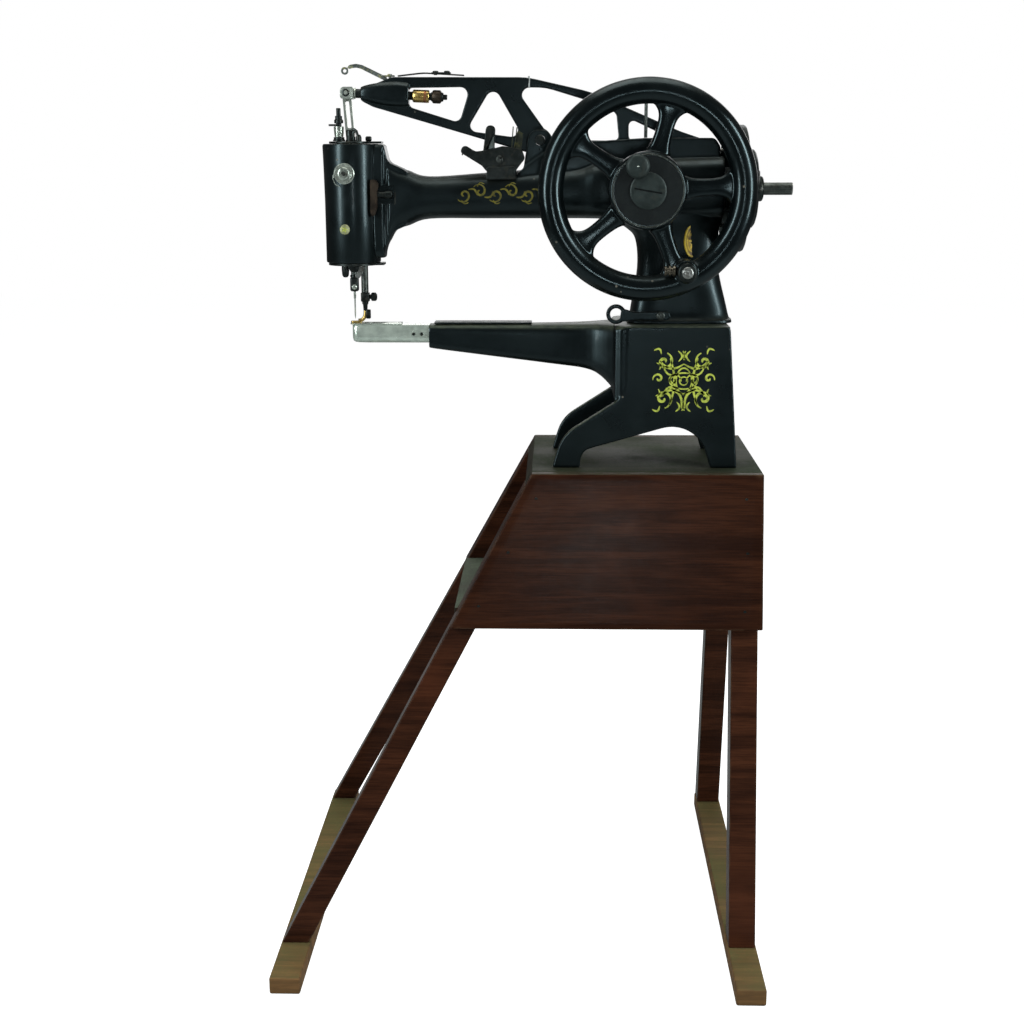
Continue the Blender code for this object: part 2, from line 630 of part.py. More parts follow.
def tooth_tool(name, axis, centre, face, toward, turn):
    """One straight tapered tooth lying along the pitch cone."""
    bm = bmesh.new()
    bmesh.ops.create_cube(bm, size=1.0)
    pitch = math.tau * GEAR_R / GEAR_TEETH
    for vertex in bm.verts:
        outer = vertex.co.x > 0
        tip = vertex.co.z > 0
        side = 1 if vertex.co.y > 0 else -1
        scale = 1.0 if outer else 0.66
        along_cone = (GEAR_R * scale, face + toward * GEAR_R * (1 - scale))
        reach = 1.2 if tip else -2.6
        radius = along_cone[0] + reach * 0.707
        along = along_cone[1] + toward * reach * 0.707
        width = pitch * scale * (0.10 if tip else 0.20) * side
        vertex.co = Vector((radius, width, along))
    spin = Matrix.Rotation(turn, 4, "Z")
    spot = {"X": (0, *centre), "Y": (centre[0], 0, centre[1])}[axis]
    bm.transform(Matrix.Translation(spot) @ AXIS_TURN[axis] @ spin)
    return from_bmesh(name, bm, None, None)


def build_wheel():
    body = Body("hand_wheel_body", (WHEEL_X, WHEEL_Y, SHAFT_Z))
    centre = (WHEEL_X, SHAFT_Z)
    wheel = turned("hand_wheel", "Y", centre, [
        (radius, WHEEL_Y + along) for radius, along in (
            (9.3, -5.4), (9.3, 29.0), (22.0, 29.0), (22.0, 22.0), (34.0, 14.0), (38.0, -1.0),
            (43.5, -4.0), (43.5, -13.0), (42.0, -14.5), (13.0, -14.5), (11.0, -5.4))
    ], "japan", body, steps=36)
    rim = turned("wheel_rim", "Y", centre, [
        (WHEEL_RIM_R + WHEEL_TUBE_R * math.sin(math.tau * k / 12),
         WHEEL_Y + WHEEL_TUBE_R * math.cos(math.tau * k / 12)) for k in range(12)
    ], None, None, steps=42)
    join(wheel, rim)
    for k, angle in enumerate(SPOKE_ANGLES):
        join(wheel, spoke_tool(f"spoke_{k}", math.radians(angle)))
    knob_at = (WHEEL_X + KNOB_OFFSET[0], SHAFT_Z + KNOB_OFFSET[1])
    crank_at = (WHEEL_X + CRANK_OFFSET[0], SHAFT_Z + CRANK_OFFSET[1])
    front = WHEEL_Y - WHEEL_TUBE_R
    join(wheel, rod_tool("crank_boss", "Y", crank_at, 13.5, front - 3.0, front + 17.0, sides=24))
    cut(
        wheel,
        rod_tool("knob_hole", "Y", knob_at, 5.3, front - 10, front + 15, sides=16),
        rod_tool("crank_hole", "Y", crank_at, 5.0, front - 10, front + 11, sides=16),
    )
    shaft = rod("wheel_shaft", "Y", centre, 9.0, front + 10.5, 96.0, "steel", body, sides=20)
    join(shaft, *bevel_gear("wheel_gear", "Y", centre, MID - GEAR_R, 1, 0.0))
    hub_screw = turned("hub_screw", "Y", centre, [
        (0, front + 9.9), (8.5, front + 9.9), (8.5, front + 0.2), (21.5, front + 0.2),
        (21.5, front - 1.5), (19.0, front - 3.0), (0, front - 3.6),
    ], "dark_steel", body, steps=28)
    cut(hub_screw, block_tool("hub_screw_slot", (WHEEL_X - 17, front - 9, SHAFT_Z - 0.8),
                              (WHEEL_X + 17, front - 1.8, SHAFT_Z + 0.8)))
    knob = Body("stop_knob_body", (knob_at[0], front, knob_at[1]), body)
    turned("stop_knob", "Y", knob_at, [
        (radius, front + along) for radius, along in (
            (0, 13.0), (5.0, 13.0), (5.0, 0.2), (9.5, 0.2), (9.5, -4.0), (14.0, -6.0), (14.0, -12.0),
            (11.5, -15.0), (0, -15.6))
    ], "dark_steel", knob, steps=24)
    build_crank(body, crank_at)


def spoke_tool(name, angle):
    """One tapered spoke of oval section from the hub to the rim."""
    bm = bmesh.new()
    inner, outer = 30.0, WHEEL_RIM_R - 4
    bmesh.ops.create_cone(bm, cap_ends=True, segments=12, radius1=12.0, radius2=9.0, depth=outer - inner)
    for vertex in bm.verts:
        vertex.co.y *= 0.72
    bm.transform(Matrix.Translation((0, 0, (inner + outer) / 2)))
    aim = Matrix.Rotation(math.pi / 2 - angle, 4, "Y")
    bm.transform(Matrix.Translation((WHEEL_X, WHEEL_Y + 2, SHAFT_Z)) @ aim)
    return from_bmesh(name, bm, None, None)


def build_crank(wheel, spot):
    """The collar of the crank handle and the slotted screw that it turns on."""
    x, z = spot
    rear = WHEEL_Y - WHEEL_TUBE_R - 3.0 - GAP
    front = rear - 17.0
    sleeve = Body("crank_sleeve_body", (x, rear, z), wheel)
    turned("crank_sleeve", "Y", spot, [
        (11.0, rear), (11.4, rear - 1.0), (11.4, front + 1.0), (10.4, front), (4.2, front), (4.2, rear),
    ], "brown_steel", sleeve, steps=22)
    screw = turned("crank_screw", "Y", spot, [
        (0, rear + 13.5), (3.9, rear + 13.5), (3.9, front - 0.4), (7.4, front - 0.4), (7.4, front - 2.4),
        (6.4, front - 3.4), (0, front - 3.6),
    ], "steel", wheel, steps=18)
    cut(screw, block_tool("crank_screw_slot", (x - 9, front - 9, z - 0.6), (x + 9, front - 2.3, z + 0.6)))


def build_main_shaft():
    body = Body("main_shaft_body", (200.0, MID, SHAFT_Z))
    centre = (MID, SHAFT_Z)
    shaft = rod("main_shaft", "X", centre, SHAFT_R, 115.0, SHAFT_END, "steel", body, sides=20)
    join(shaft, *bevel_gear("shaft_gear", "X", centre, WHEEL_X + GEAR_R, -1, 0.5))
    bore = SHAFT_R + GAP
    turned("cam_disc", "X", centre, [
        (bore, 241.5), (16.0, 241.5), (40.0, 239.5), (47.0, 236.0), (48.0, 233.0), (48.0, DISC_RIGHT),
        (58.0, DISC_RIGHT), (60.0, DISC_RIGHT - 2.5), (DISC_R - 3, DISC_RIGHT - 3.5),
        (DISC_R, DISC_RIGHT - 6.5), (DISC_R, DISC_LEFT + 1), (DISC_R - 1, DISC_LEFT), (72.5, DISC_LEFT),
        (72.5, DISC_LEFT + 13), (26.0, DISC_LEFT + 13), (26.0, DISC_LEFT), (bore, DISC_LEFT),
    ], "japan", body, steps=36)
    turned("shaft_collar", "X", centre, [
        (bore, 248.5), (13.0, 248.5), (15.5, 246.0), (15.5, 241.5 + GAP), (bore, 241.5 + GAP),
    ], "dark_steel", body, steps=24)


# --- walking beam ----------------------------------------------------------------------------
def build_beam():
    body = Body("beam_body", (PIVOT_X, MID, PIVOT_Z))
    edge = filleted([
        (-246.0, 461.0, 3), (-236.0, 463.0, 8), (-208.0, 473.4, 14), (-43.0, 472.6, 90),
        (34.5, 455.2, 120), (145.0, 408.0, 60), (190.0, 393.0), (194.0, 391.0, 2), (194.0, 380.0, 2),
        (186.0, 381.5), (100.0, 388.5, 60), (-8.0, 388.0, 8), (-22.0, 383.0, 8), (-44.0, 383.5, 10),
        (-158.4, 416.8), (-232.0, 438.0, 10), (-246.0, 445.0, 3),
    ])
    windows = [
        filleted([(-187.5, 460.6, 3), (-112.5, 461.4, 9), (-126.0, 419.0, 8), (-187.5, 438.0, 6)]),
        filleted([(-84.5, 464.0, 9), (-47.0, 400.0, 8), (-118.0, 409.6, 8)]),
        filleted([(-58.0, 461.0, 9), (-20.0, 460.2, 60), (34.0, 444.0, 60), (66.5, 430.0, 7),
                  (70.0, 397.5, 5), (-12.0, 397.5, 8), (-24.0, 414.5, 10)]),
        filleted([(81.5, 424.0, 6), (116.0, 408.0, 5), (116.0, 398.5, 4), (82.0, 397.5, 5)]),
    ]
    beam = plate("walking_beam", [edge] + windows, MID - BEAM_THICK / 2, MID + BEAM_THICK / 2, "japan",
                 body)
    nose = tilted_rod_tool("beam_nose", 12.6, -247.0, -187.6, 28)
    join(beam, nose, rod_tool("beam_hub", "Y", (PIVOT_X, PIVOT_Z), 14.5, MID - 7.4, MID + 7.4, sides=28),
         rod_tool("tail_stud", "X", (MID, 385.2), 2.2, 190.0, 204.0, sides=12),
         rod_tool("tail_roller", "X", (MID, 385.2), 4.0, 203.5, 208.8, sides=14))
    cut(beam, tilted_rod_tool("nose_bore", ROD_R + GAP, -260.0, -184.0, 20),
        rod_tool("hub_bore", "Y", (PIVOT_X, PIVOT_Z), PIVOT_R + GAP, 90, 130, sides=18))
    build_beam_fittings(body)
    build_needle_rod(body)


def tilted_rod_tool(name, radius, start, end, sides):
    return from_bmesh(name, tilted_rod_mesh(radius, start, end, sides), None, None)


def tilted_rod_mesh(radius, start, end, sides):
    """A rod on the axis of the beam's nose, which dips slightly towards the wheel."""
    bm = rod_mesh("X", (0, 0), radius, start - ROD_X, end - ROD_X, sides)
    bm.transform(Matrix.Translation((ROD_X, MID, ROD_Z)) @ Matrix.Rotation(math.radians(ROD_TILT), 4, "Y"))
    return bm


def build_beam_fittings(body):
    """Thread hook, leaf spring and its clamp, all screwed to the top of the beam."""
    hook = filleted([
        (-270.7, 476.8, 4.1), (-270.7, 485.2, 4.1), (-262.0, 485.2), (-254.5, 489.5, 5), (-241.0, 488.0, 5),
        (-216.0, 476.2), (-205.0, 476.2), (-205.0, 473.9), (-221.0, 473.9), (-243.0, 483.4, 5),
        (-254.0, 485.0, 5), (-262.3, 480.4), (-262.3, 476.8, 4.1),
    ])
    eye = [Vector((-266.5 + 2 * math.cos(math.tau * k / 10), 481.0 + 2 * math.sin(math.tau * k / 10)))
           for k in range(10)]
    band = plate("thread_hook", [hook, eye], MID - 1.6, MID + 1.6, "nickel", body)
    join(band, block_tool("hook_foot", (-222.0, MID - 4, 473.9), (-205.0, MID + 4, 476.2)))
    spring = filleted([(-201.0, 474.0), (-170.0, 477.4, 60), (-120.0, 474.4), (-120.0, 475.8),
                       (-170.0, 478.8, 60), (-201.0, 475.4)])
    leaf = plate("leaf_spring", [spring], MID - 5, MID + 5, "steel", body)
    join(leaf, block_tool("spring_clamp", (-160.0, MID - 6, 476.5), (-136.0, MID + 6, 480.6)))


def build_needle_rod(beam):
    """The rod through the beam's nose, its clevis, brass sleeve and lock nut."""
    body = Body("rod_body", (ROD_X, MID, ROD_Z), beam)
    clevis_rod = from_bmesh("needle_rod", tilted_rod_mesh(ROD_R, -256.0, -145.5, 20), "dark_steel", body,
                            smooth=True)
    left, top = LINK_TOP
    head = plate("clevis_head", [filleted([
        (left - 7.0, top - 7.0, 3), (left - 7.0, top + 7.0, 5), (left + 9.0, top + 7.0, 1.5),
        (left + 9.0, top - 7.5, 1.5)])], MID - 8, MID + 8)
    join(clevis_rod, head)
    cut(clevis_rod,
        block_tool("clevis_slot", (left - 9, MID - 4.4, top - 12), (left + 7.3, MID + 4.4, top + 12)))
    join(clevis_rod, rod_tool("clevis_pin", "Y", (left, top), 2.5, MID - 9, MID + 9, sides=12))
    for name, radius, start, end, finish in (
        ("brass_sleeve", 7.7, -183.0, -163.0, "brass"),
        ("rod_nut", 8.3, -159.0, -148.0, "dark_steel"),
    ):
        sleeve = from_bmesh(name, tilted_rod_mesh(radius, start, end, 24), finish, body, smooth=True)
        cut(sleeve, tilted_rod_tool(name + "_bore", ROD_R + GAP, start - 5, end + 5, 20))
    build_link(body)


def build_link(rod_body):
    left, top = LINK_TOP
    body = Body("link_body", (left, MID, top), rod_body)
    low_x, low_z = HEAD_X, LINK_LOW_Z
    lean = (left - low_x) / (top - low_z)
    half = 5.4
    corners = [
        (low_x - half, low_z - 4.5, 4), (left - half, top + 6, 5), (left + half, top + 6, 5),
        (low_x + half, low_z - 4.5, 4),
    ]
    window = filleted([
        (low_x + lean * 9 - 2.4, low_z + 9, 1.5), (left - lean * 10 - 2.4, top - 10, 1.5),
        (left - lean * 10 + 2.4, top - 10, 1.5), (low_x + lean * 9 + 2.4, low_z + 9, 1.5),
    ])
    plate("needle_link", [filleted(corners), window, ring(left, top, 2.8, 12), ring(low_x, low_z, 3.6, 12)],
          MID - 3.0, MID + 3.0, "nickel", body)


# --- rotating head ---------------------------------------------------------------------------
def build_head():
    """The fixed barrel, and inside it the bushing that turns with the needle and presser bars."""
    axis = (HEAD_X, MID)
    barrel = turned("head_barrel", "Z", axis, [
        (HEAD_R - 1.5, HEAD_HIGH), (HEAD_R, HEAD_HIGH - 1.5), (HEAD_R, HEAD_LOW + 1.5),
        (HEAD_R - 1.5, HEAD_LOW), (25.0, HEAD_LOW), (25.0, HEAD_HIGH),
    ], "japan", ROOT, steps=36)
    tension_at = (HEAD_X - 4.5, 358.5)
    upper = plate("head_top", [
        ring(HEAD_X, MID, 26.0, 24), ring(HEAD_X, MID, 9.5, 16), ring(HEAD_X - 14.5, MID, 3.4, 10),
    ], HEAD_HIGH - 8, HEAD_HIGH - 0.5, plane="XY")
    join(barrel, upper)
    cut(barrel, rod_tool("tension_hole", "Y", tension_at, 2.8, 65, 100, sides=12))
    build_retainers()
    build_tension(tension_at)
    head = Body("revolving_head_body", (HEAD_X, MID, HEAD_LOW))
    bushing = turned("revolving_bushing", "Z", axis, [
        (24.6, HEAD_HIGH - 9), (24.6, HEAD_LOW + 0.5), (21.5, HEAD_LOW + 0.5), (21.5, HEAD_HIGH - 9),
    ], "dark_steel", head, steps=36)
    presser_hole = ring(PRESSER_X, MID, PRESSER_R + GAP, 12)
    for name, needle_hole, low, high in (
        ("guide_low", NEEDLE_BAR_R + GAP, HEAD_LOW + 0.8, HEAD_LOW + 9),
        ("guide_middle", NEEDLE_BAR_R + GAP, 330.0, 336.0),
        ("guide_high", SWIVEL_R + 0.4, 374.5, 378.0),
    ):
        join(bushing, plate(
            name, [ring(HEAD_X, MID, 23.0, 24), ring(HEAD_X, MID, needle_hole, 12), presser_hole],
            low, high, plane="XY"))
    join(bushing, rod_tool("guide_boss", "Z", (HEAD_X - 12, MID - 5), 4.0, HEAD_LOW - 12, HEAD_LOW + 3,
                           sides=12))
    screw = Body("pressure_screw_body", (HEAD_X - 14.5, MID, HEAD_HIGH))
    turned("pressure_screw", "Z", (HEAD_X - 14.5, MID), [
        (0, 437.0), (3.2, 437.0), (3.2, 423.0), (5.6, 423.0), (5.6, 414.0), (6.4, 413.0), (6.4, 409.0),
        (3.0, 408.0), (3.0, 388.5), (0, 388.5),
    ], "dark_steel", screw, steps=16)
    build_needle_bar(head)
    build_presser(head)


def build_retainers():
    """Two plates screwed to the arm hold the turning head from above and below."""
    for name, outer, inner, low, high in (
        ("head_lower_plate", 31.5, 20.5, HEAD_LOW - 3.2, HEAD_LOW - 0.4),
        ("head_upper_plate", 27.0, 19.5, HEAD_HIGH + 0.4, HEAD_HIGH + 3.0),
    ):
        outline = [
            Vector((HEAD_X + outer * math.cos(math.radians(a)), MID + outer * math.sin(math.radians(a))))
            for a in range(24, 340, 12)
        ]
        outline += [Vector((-222.0, MID - 11)), Vector((-222.0, MID + 11))]
        plate(name, [outline, ring(HEAD_X, MID, inner, 20)], low, high, "dark_steel", ROOT, plane="XY")
    join(bpy.data.objects["head_upper_plate"],
         block_tool("square_screw", (-235.5, MID - 3.5, HEAD_HIGH + 2.5), (-228.5, MID + 3.5, HEAD_HIGH + 8)))
    feed = Body("feed_body", (-231.0, 90.0, 326.0))
    slide = turned("feed_slide", "Z", (-226.0, 88.5), [
        (0, 347.0), (5.5, 347.0), (5.5, 305.0), (0, 305.0)], "brown_steel", feed, steps=18)
    join(slide, rod_tool("feed_stud", "X", (88.0, 333.0), 4.8, -223.0, -208.5, sides=18))


def build_tension(spot):
    stud = rod("tension_stud", "Y", spot, 2.4, 58.5, 82.5, "steel", ROOT, sides=12)
    join(stud, turned("tension_disc_rear", "Y", spot, [
        (0, 72.9), (12.6, 72.9), (12.6, 71.7), (0, 71.7)], None, None, steps=24))
    turned("tension_disc", "Y", spot, [
        (12.6, 70.1), (12.6, 68.8), (2.7, 68.8), (2.7, 70.1)], "nickel", ROOT, steps=24)
    nut = Body("tension_nut_body", (spot[0], 62.5, spot[1]))
    turned("tension_nut", "Y", spot, [
        (7.4, 68.1), (8.0, 67.1), (8.0, 63.5), (6.6, 62.1), (2.7, 62.1), (2.7, 68.1),
    ], "nickel", nut, steps=20)


def build_needle_bar(head):
    bar = Body("needle_bar_body", (HEAD_X, MID, 230.0), head)
    turned("needle_bar", "Z", (HEAD_X, MID), [
        (0, 396.0), (NEEDLE_BAR_R, 396.0), (NEEDLE_BAR_R, 231.6), (0, 231.6)], "nickel", bar, steps=18)
    clamp = block("needle_clamp", (HEAD_X - 5.2, MID - 5.5, 214.0), (HEAD_X + 5.2, MID + 5.5, 231.3),
                  "dark_steel", bar)
    add_bevel(clamp, 1.2)
    join(clamp, rod_tool("clamp_screw", "Y", (HEAD_X, 219.0), 3.0, MID - 8.5, MID - 3, sides=12))
    turned("needle", "Z", (HEAD_X, MID), [
        (0, 213.7), (1.5, 213.7), (1.5, 205.0), (NEEDLE_R, 203.0), (NEEDLE_R, NEEDLE_TIP + 6),
        (0, NEEDLE_TIP),
    ], "nickel", bar, steps=10)
    swivel = Body("needle_swivel_body", (HEAD_X, MID, LINK_LOW_Z))
    fork = turned("needle_swivel", "Z", (HEAD_X, MID), [
        (0, 411.0), (SWIVEL_R, 411.0), (SWIVEL_R, 396.5), (0, 396.5)], "dark_steel", swivel, steps=20)
    cut(fork,
        block_tool("swivel_slot", (HEAD_X - 12, MID - 3.5, 399.0), (HEAD_X + 12, MID + 3.5, 420)))
    join(fork, rod_tool("swivel_pin", "Y", (HEAD_X, LINK_LOW_Z), 2.5, MID - 5, MID + 5, sides=12))


def build_presser(head):
    bar = Body("presser_bar_body", (PRESSER_X, MID, 230.0), head)
    lower = rod("presser_bar", "Z", (PRESSER_X, MID), PRESSER_R, 212.0, 376.0, "steel", bar, sides=18)
    join(lower, rod_tool("presser_collar", "Z", (PRESSER_X, MID), 7.5, 337.0, 343.0, sides=18))
    clamp = block("foot_clamp", (PRESSER_X - 5.0, MID - 5.5, 200.0), (PRESSER_X + 5.5, MID + 5.5, 211.7),
                  "dark_steel", bar)
    add_bevel(clamp, 1.0)
    join(clamp, turned("foot_thumb_screw", "X", (MID, 206.0), [
        (0, PRESSER_X + 15.0), (3.6, PRESSER_X + 15.0), (5.4, PRESSER_X + 13.5), (5.4, PRESSER_X + 8.5),
        (3.0, PRESSER_X + 7.8), (3.0, PRESSER_X + 4.0), (0, PRESSER_X + 4.0)], None, None, steps=16))
    shank = [(PRESSER_X, MID, 192.0), (PRESSER_X, MID, 183.0), (PRESSER_X - 1.6, MID, 179.2),
             (PRESSER_X - 4.6, MID, 176.7), (PRESSER_X - 9.0, MID, 176.0)]
    foot = tube("presser_foot", shank, 2.4, "brass", bar)
    join(foot, rod_tool("foot_stem", "Z", (PRESSER_X, MID), 3.4, 189.0, 199.7, sides=16),
         block_tool("foot_heel", (PRESSER_X + 1.0, MID - 3, 178.5), (PRESSER_X + 6.5, MID + 3, 190.0)))
    toe = plate("foot_toe", [
        filleted([(HEAD_X - 5.5, MID - 4.5, 3.5), (HEAD_X + 8.0, MID - 4.5, 1), (HEAD_X + 8.0, MID + 4.5, 1),
                  (HEAD_X - 5.5, MID + 4.5, 3.5)]),
        ring(HEAD_X, MID, 1.9, 10)], TIP_TOP + 2.1, TIP_TOP + 4.0, plane="XY")
    join(foot, toe)
    spring = []
    turns, per_turn = 5, 8
    for k in range(turns * per_turn + 1):
        turn = math.tau * k / per_turn
        spring.append((PRESSER_X + 6.6 * math.cos(turn), MID + 6.6 * math.sin(turn),
                       344.4 + 28.4 * k / (turns * per_turn)))
    tube("presser_spring", spring, 0.8, "steel", head, resolution=1)


# --- fittings on the arm and base ------------------------------------------------------------
def build_fittings():
    bracket = plate("thread_bracket", [filleted([
        (-93.0, 361.5), (-96.0, 368.0), (-126.0, 384.0, 4), (-119.0, 395.0, 5), (-104.0, 383.0, 6),
        (-64.0, 385.0, 3), (-64.0, 368.0, 3), (-80.0, 362.5)])], MID - 24, MID - 12, "dark_steel", ROOT)
    tab = plate("bracket_tab", [filleted([
        (-97.0, 378.0), (-92.0, 416.0, 6), (-80.5, 416.0, 6), (-83.0, 378.0)])], MID - 21, MID - 16)
    saddle = plate("bracket_saddle", [[Vector((-91, 345)), Vector((-72, 345)), Vector((-70, 364)),
                                       Vector((-91, 364))]], MID - 27, MID - 12)
    join(bracket, tab, saddle)
    cut(bracket, loft("bracket_seat", "X", [
        (-164.0, 302.6, 355.3, 25.5, 2.3), (-94.0, 302.9, 359.4, 27.4, 2.2), (20.0, 302.9, 368.4, 33.4, 2.4),
    ], sides=20))
    lever = Body("lift_lever_body", (122.0, 60.0, 187.0))
    eye = plate("lift_lever", [filleted([
        (70.0, 177.6, 3), (66.0, 199.0, 9), (84.0, 194.0, 6), (134.0, 192.0, 5), (134.0, 180.5, 4),
        (92.0, 181.0, 6)])], 57.0, 64.0, "japan", lever)
    join(eye, rod_tool("eye_ring", "Y", (67.5, 189.0), 12.2, 57.1, 63.9, sides=24))
    cut(eye, rod_tool("eye_hole", "Y", (67.5, 189.0), 7.0, 50, 70, sides=20),
        rod_tool("lever_pivot_hole", "Y", (122.0, 187.0), 3.0, 50, 70, sides=12))
    turned("lift_lever_screw", "Y", (122.0, 187.0), [
        (0, 65.5), (2.7, 65.5), (2.7, 56.6), (5.2, 56.6), (5.2, 54.4), (0, 53.8)], "steel", ROOT, steps=16)


build_stand()
build_base()
build_shuttle_drive()
build_arm()
build_wheel()
build_main_shaft()
build_beam()
build_head()
build_fittings()
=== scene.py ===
"""Looks of the hand-cranked cylinder-arm patching machine and of its wooden stand.

Shapes are drawn in millimetres of a drawing frame: X to the right, Y away from the operator and Z up, counted
from the front edge and top face of the stand's board.  place() turns them into the CAD frame's metres.
"""

import math

import bmesh
import bpy
from mathutils import Euler, Matrix, Vector, noise


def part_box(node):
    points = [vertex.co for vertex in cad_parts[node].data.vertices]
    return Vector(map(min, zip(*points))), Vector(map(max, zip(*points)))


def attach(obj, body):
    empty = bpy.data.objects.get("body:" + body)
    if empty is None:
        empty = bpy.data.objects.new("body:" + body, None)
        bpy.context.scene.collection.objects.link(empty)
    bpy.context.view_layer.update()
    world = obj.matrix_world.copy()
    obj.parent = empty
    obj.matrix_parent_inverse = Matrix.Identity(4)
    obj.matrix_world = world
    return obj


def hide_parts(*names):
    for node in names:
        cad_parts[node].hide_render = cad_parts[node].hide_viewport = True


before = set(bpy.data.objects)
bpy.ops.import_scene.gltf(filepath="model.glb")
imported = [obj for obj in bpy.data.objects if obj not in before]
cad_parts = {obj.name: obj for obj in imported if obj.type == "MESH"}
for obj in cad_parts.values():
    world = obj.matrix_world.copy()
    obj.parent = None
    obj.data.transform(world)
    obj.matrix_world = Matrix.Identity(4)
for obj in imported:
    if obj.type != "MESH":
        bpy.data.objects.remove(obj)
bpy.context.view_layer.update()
MM = 0.001


def middle(node, axis):
    low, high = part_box(node)
    return (low[axis] + high[axis]) / 2


# Where the drawing frame's origin lies in the CAD frame, from three CAD pieces.
WHEEL_X, MID = 101, 108
ORIGIN = Vector((
    middle("wheel_shaft", 0) - WHEEL_X * MM,
    middle("main_shaft", 1) - MID * MM,
    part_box("stand_front_panel")[1][2],
))

STAND_HEIGHT = 601
BOARD_LEFT, BOARD_RIGHT, BOARD_DEPTH, BOARD_THICK = -35.5, 248.2, 271.3, 16
PANEL_HEIGHT, PANEL_THICK = 187.1, 13.7
SPLAY, LEAN = 0.1985, 0.5355
LEG_WIDE, LEG_DEEP, RIGHT_LEG_LEFT = 33, 34, 210.9
RUNNER_THICK, RUNNER_REAR = 21.6, 376
RUNNERS = {"left": (-347.4, -310.1, -184.9), "right": (209.9, 245.9, -197.6)}
SHELF_TOP, SHELF_LEFT = -175, -133
BASE_FRONT, BASE_REAR, BASE_TOP = 38, 178, 176
SHAFT_Z, SHAFT_R, SHAFT_END = 338.8, 7.6, 284.6
WHEEL_Y, RIM_R, RIM_TUBE = 14, 114.4, 15
WHEEL_FRONT = WHEEL_Y - RIM_TUBE
SPOKES = (75, 3, -69, -141, 147)
KNOB = (WHEEL_X - 13, SHAFT_Z + 28.2)
CRANK = (WHEEL_X + 46.5, SHAFT_Z - 93.6)
HEAD_X, HEAD_R, HEAD_LOW, HEAD_HIGH = -261, 34, 249.5, 394
PRESSER_X, PRESSER_R, NEEDLE_BAR_R = -248, 4.5, 4.2
PIVOT_X, PIVOT_Z = -27, 398
ROD_X, ROD_Z, ROD_R, ROD_TILT = -250, 454.2, 5.5, 2.6
LINK_TOP, LINK_LOW_Z, SWIVEL_R = (-265, 455), 404, 6.4
TIP_LEFT, TIP_RIGHT, TIP_LOW, TIP_TOP, TIP_HALF = -264, -166.3, 148.6, 171.6, 14
PLATE_LEFT = -267
TENSION = (HEAD_X - 4.5, 358.5)
SCREW_X = HEAD_X - 14.5
EYE = (67.5, 189)
LIFT = (122, 187)
GAP, TIMBER_CUTS, DENTS = 0.3, 26, 0.25
SHARP = 40
CHEST = (0, 100, 150)
FLOOR_WHITE, FLOOR_SHADE = (0.86, 0.88, 0.88), (0.42, 0.44, 0.44)
CAMERA_SPOT, CAMERA_TURNS, SENSOR, LENS = (-5.56, -1820, 379.3), (1.70, 76.8, -0.15), 36, 53.4
# name, place, target, width and height in metres, watts, colour
LIGHTS = (
    ("soft_left", (-1500, -1100, 700), CHEST, 0.34, 1.5, 21, (0.88, 0.98, 1)),
    ("soft_right", (1500, -900, 600), CHEST, 0.30, 1.4, 22, (0.88, 0.98, 1)),
    ("soft_top", (0, 200, 1900), CHEST, 1.4, 1.4, 17, (0.97, 1, 0.96)),
    ("front_fill", (90, -1950, 210), (80, 0, -80), 0.16, 0.16, 1.5, (0.88, 0.97, 1)),
    ("rear_fill", (300, 1900, 900), CHEST, 1.6, 1.2, 10, (1, 1, 1)),
)


def rotation(degrees, axis):
    return Matrix.Rotation(math.radians(degrees), 4, axis)


def place(point):
    return ORIGIN + Vector(point) * MM


def turned_about(obj, point, turn):
    """Turns an object's mesh about a point of the drawing frame."""
    centre = place(point)
    obj.data.transform(Matrix.Translation(centre) @ turn @ Matrix.Translation(-centre))
    return obj


# --- camera, lights and floor ----------------------------------------------------------------
def stage_object(name, data):
    made = bpy.data.objects.new(name, data)
    bpy.context.scene.collection.objects.link(made)
    return made


def add_camera():
    """The camera stands 1.82 m in front of the board, at about the height of the upper arm."""
    data = bpy.data.cameras.new("camera")
    data.sensor_width = SENSOR
    data.lens = LENS
    data.clip_end = 100
    camera = stage_object("camera", data)
    pan, tilt, roll = (rotation(turn, axis) for turn,
        axis in zip(CAMERA_TURNS, "ZXZ"))
    camera.matrix_world = Matrix.Translation(place(CAMERA_SPOT)) @ pan @ tilt @ roll
    bpy.context.scene.camera = camera
    bpy.context.scene.view_settings.view_transform = "Standard"


def add_lights():
    for name, spot, target, wide, high, watts, colour in LIGHTS:
        data = bpy.data.lights.new(name, "AREA")
        data.shape = "RECTANGLE"
        data.size, data.size_y = wide, high
        data.energy = watts
        data.color = colour
        light = stage_object(name, data)
        light.location = place(spot)
        aim = place(target) - light.location
        light.rotation_euler = aim.to_track_quat("-Z", "Y").to_euler()


def add_world():
    world = bpy.data.worlds.new("studio")
    bpy.context.scene.world = world
    world.use_nodes = True
    tree = world.node_tree
    background = tree.nodes["Background"]
    background.inputs["Color"].default_value = (1, 1, 1, 1)
    path = tree.nodes.new("ShaderNodeLightPath")
    strength = tree.nodes.new("ShaderNodeMapRange")
    strength.inputs["To Min"].default_value = 0.075
    strength.inputs["To Max"].default_value = 1
    tree.links.new(path.outputs["Is Camera Ray"], strength.inputs["Value"])
    tree.links.new(strength.outputs["Result"], background.inputs["Strength"])


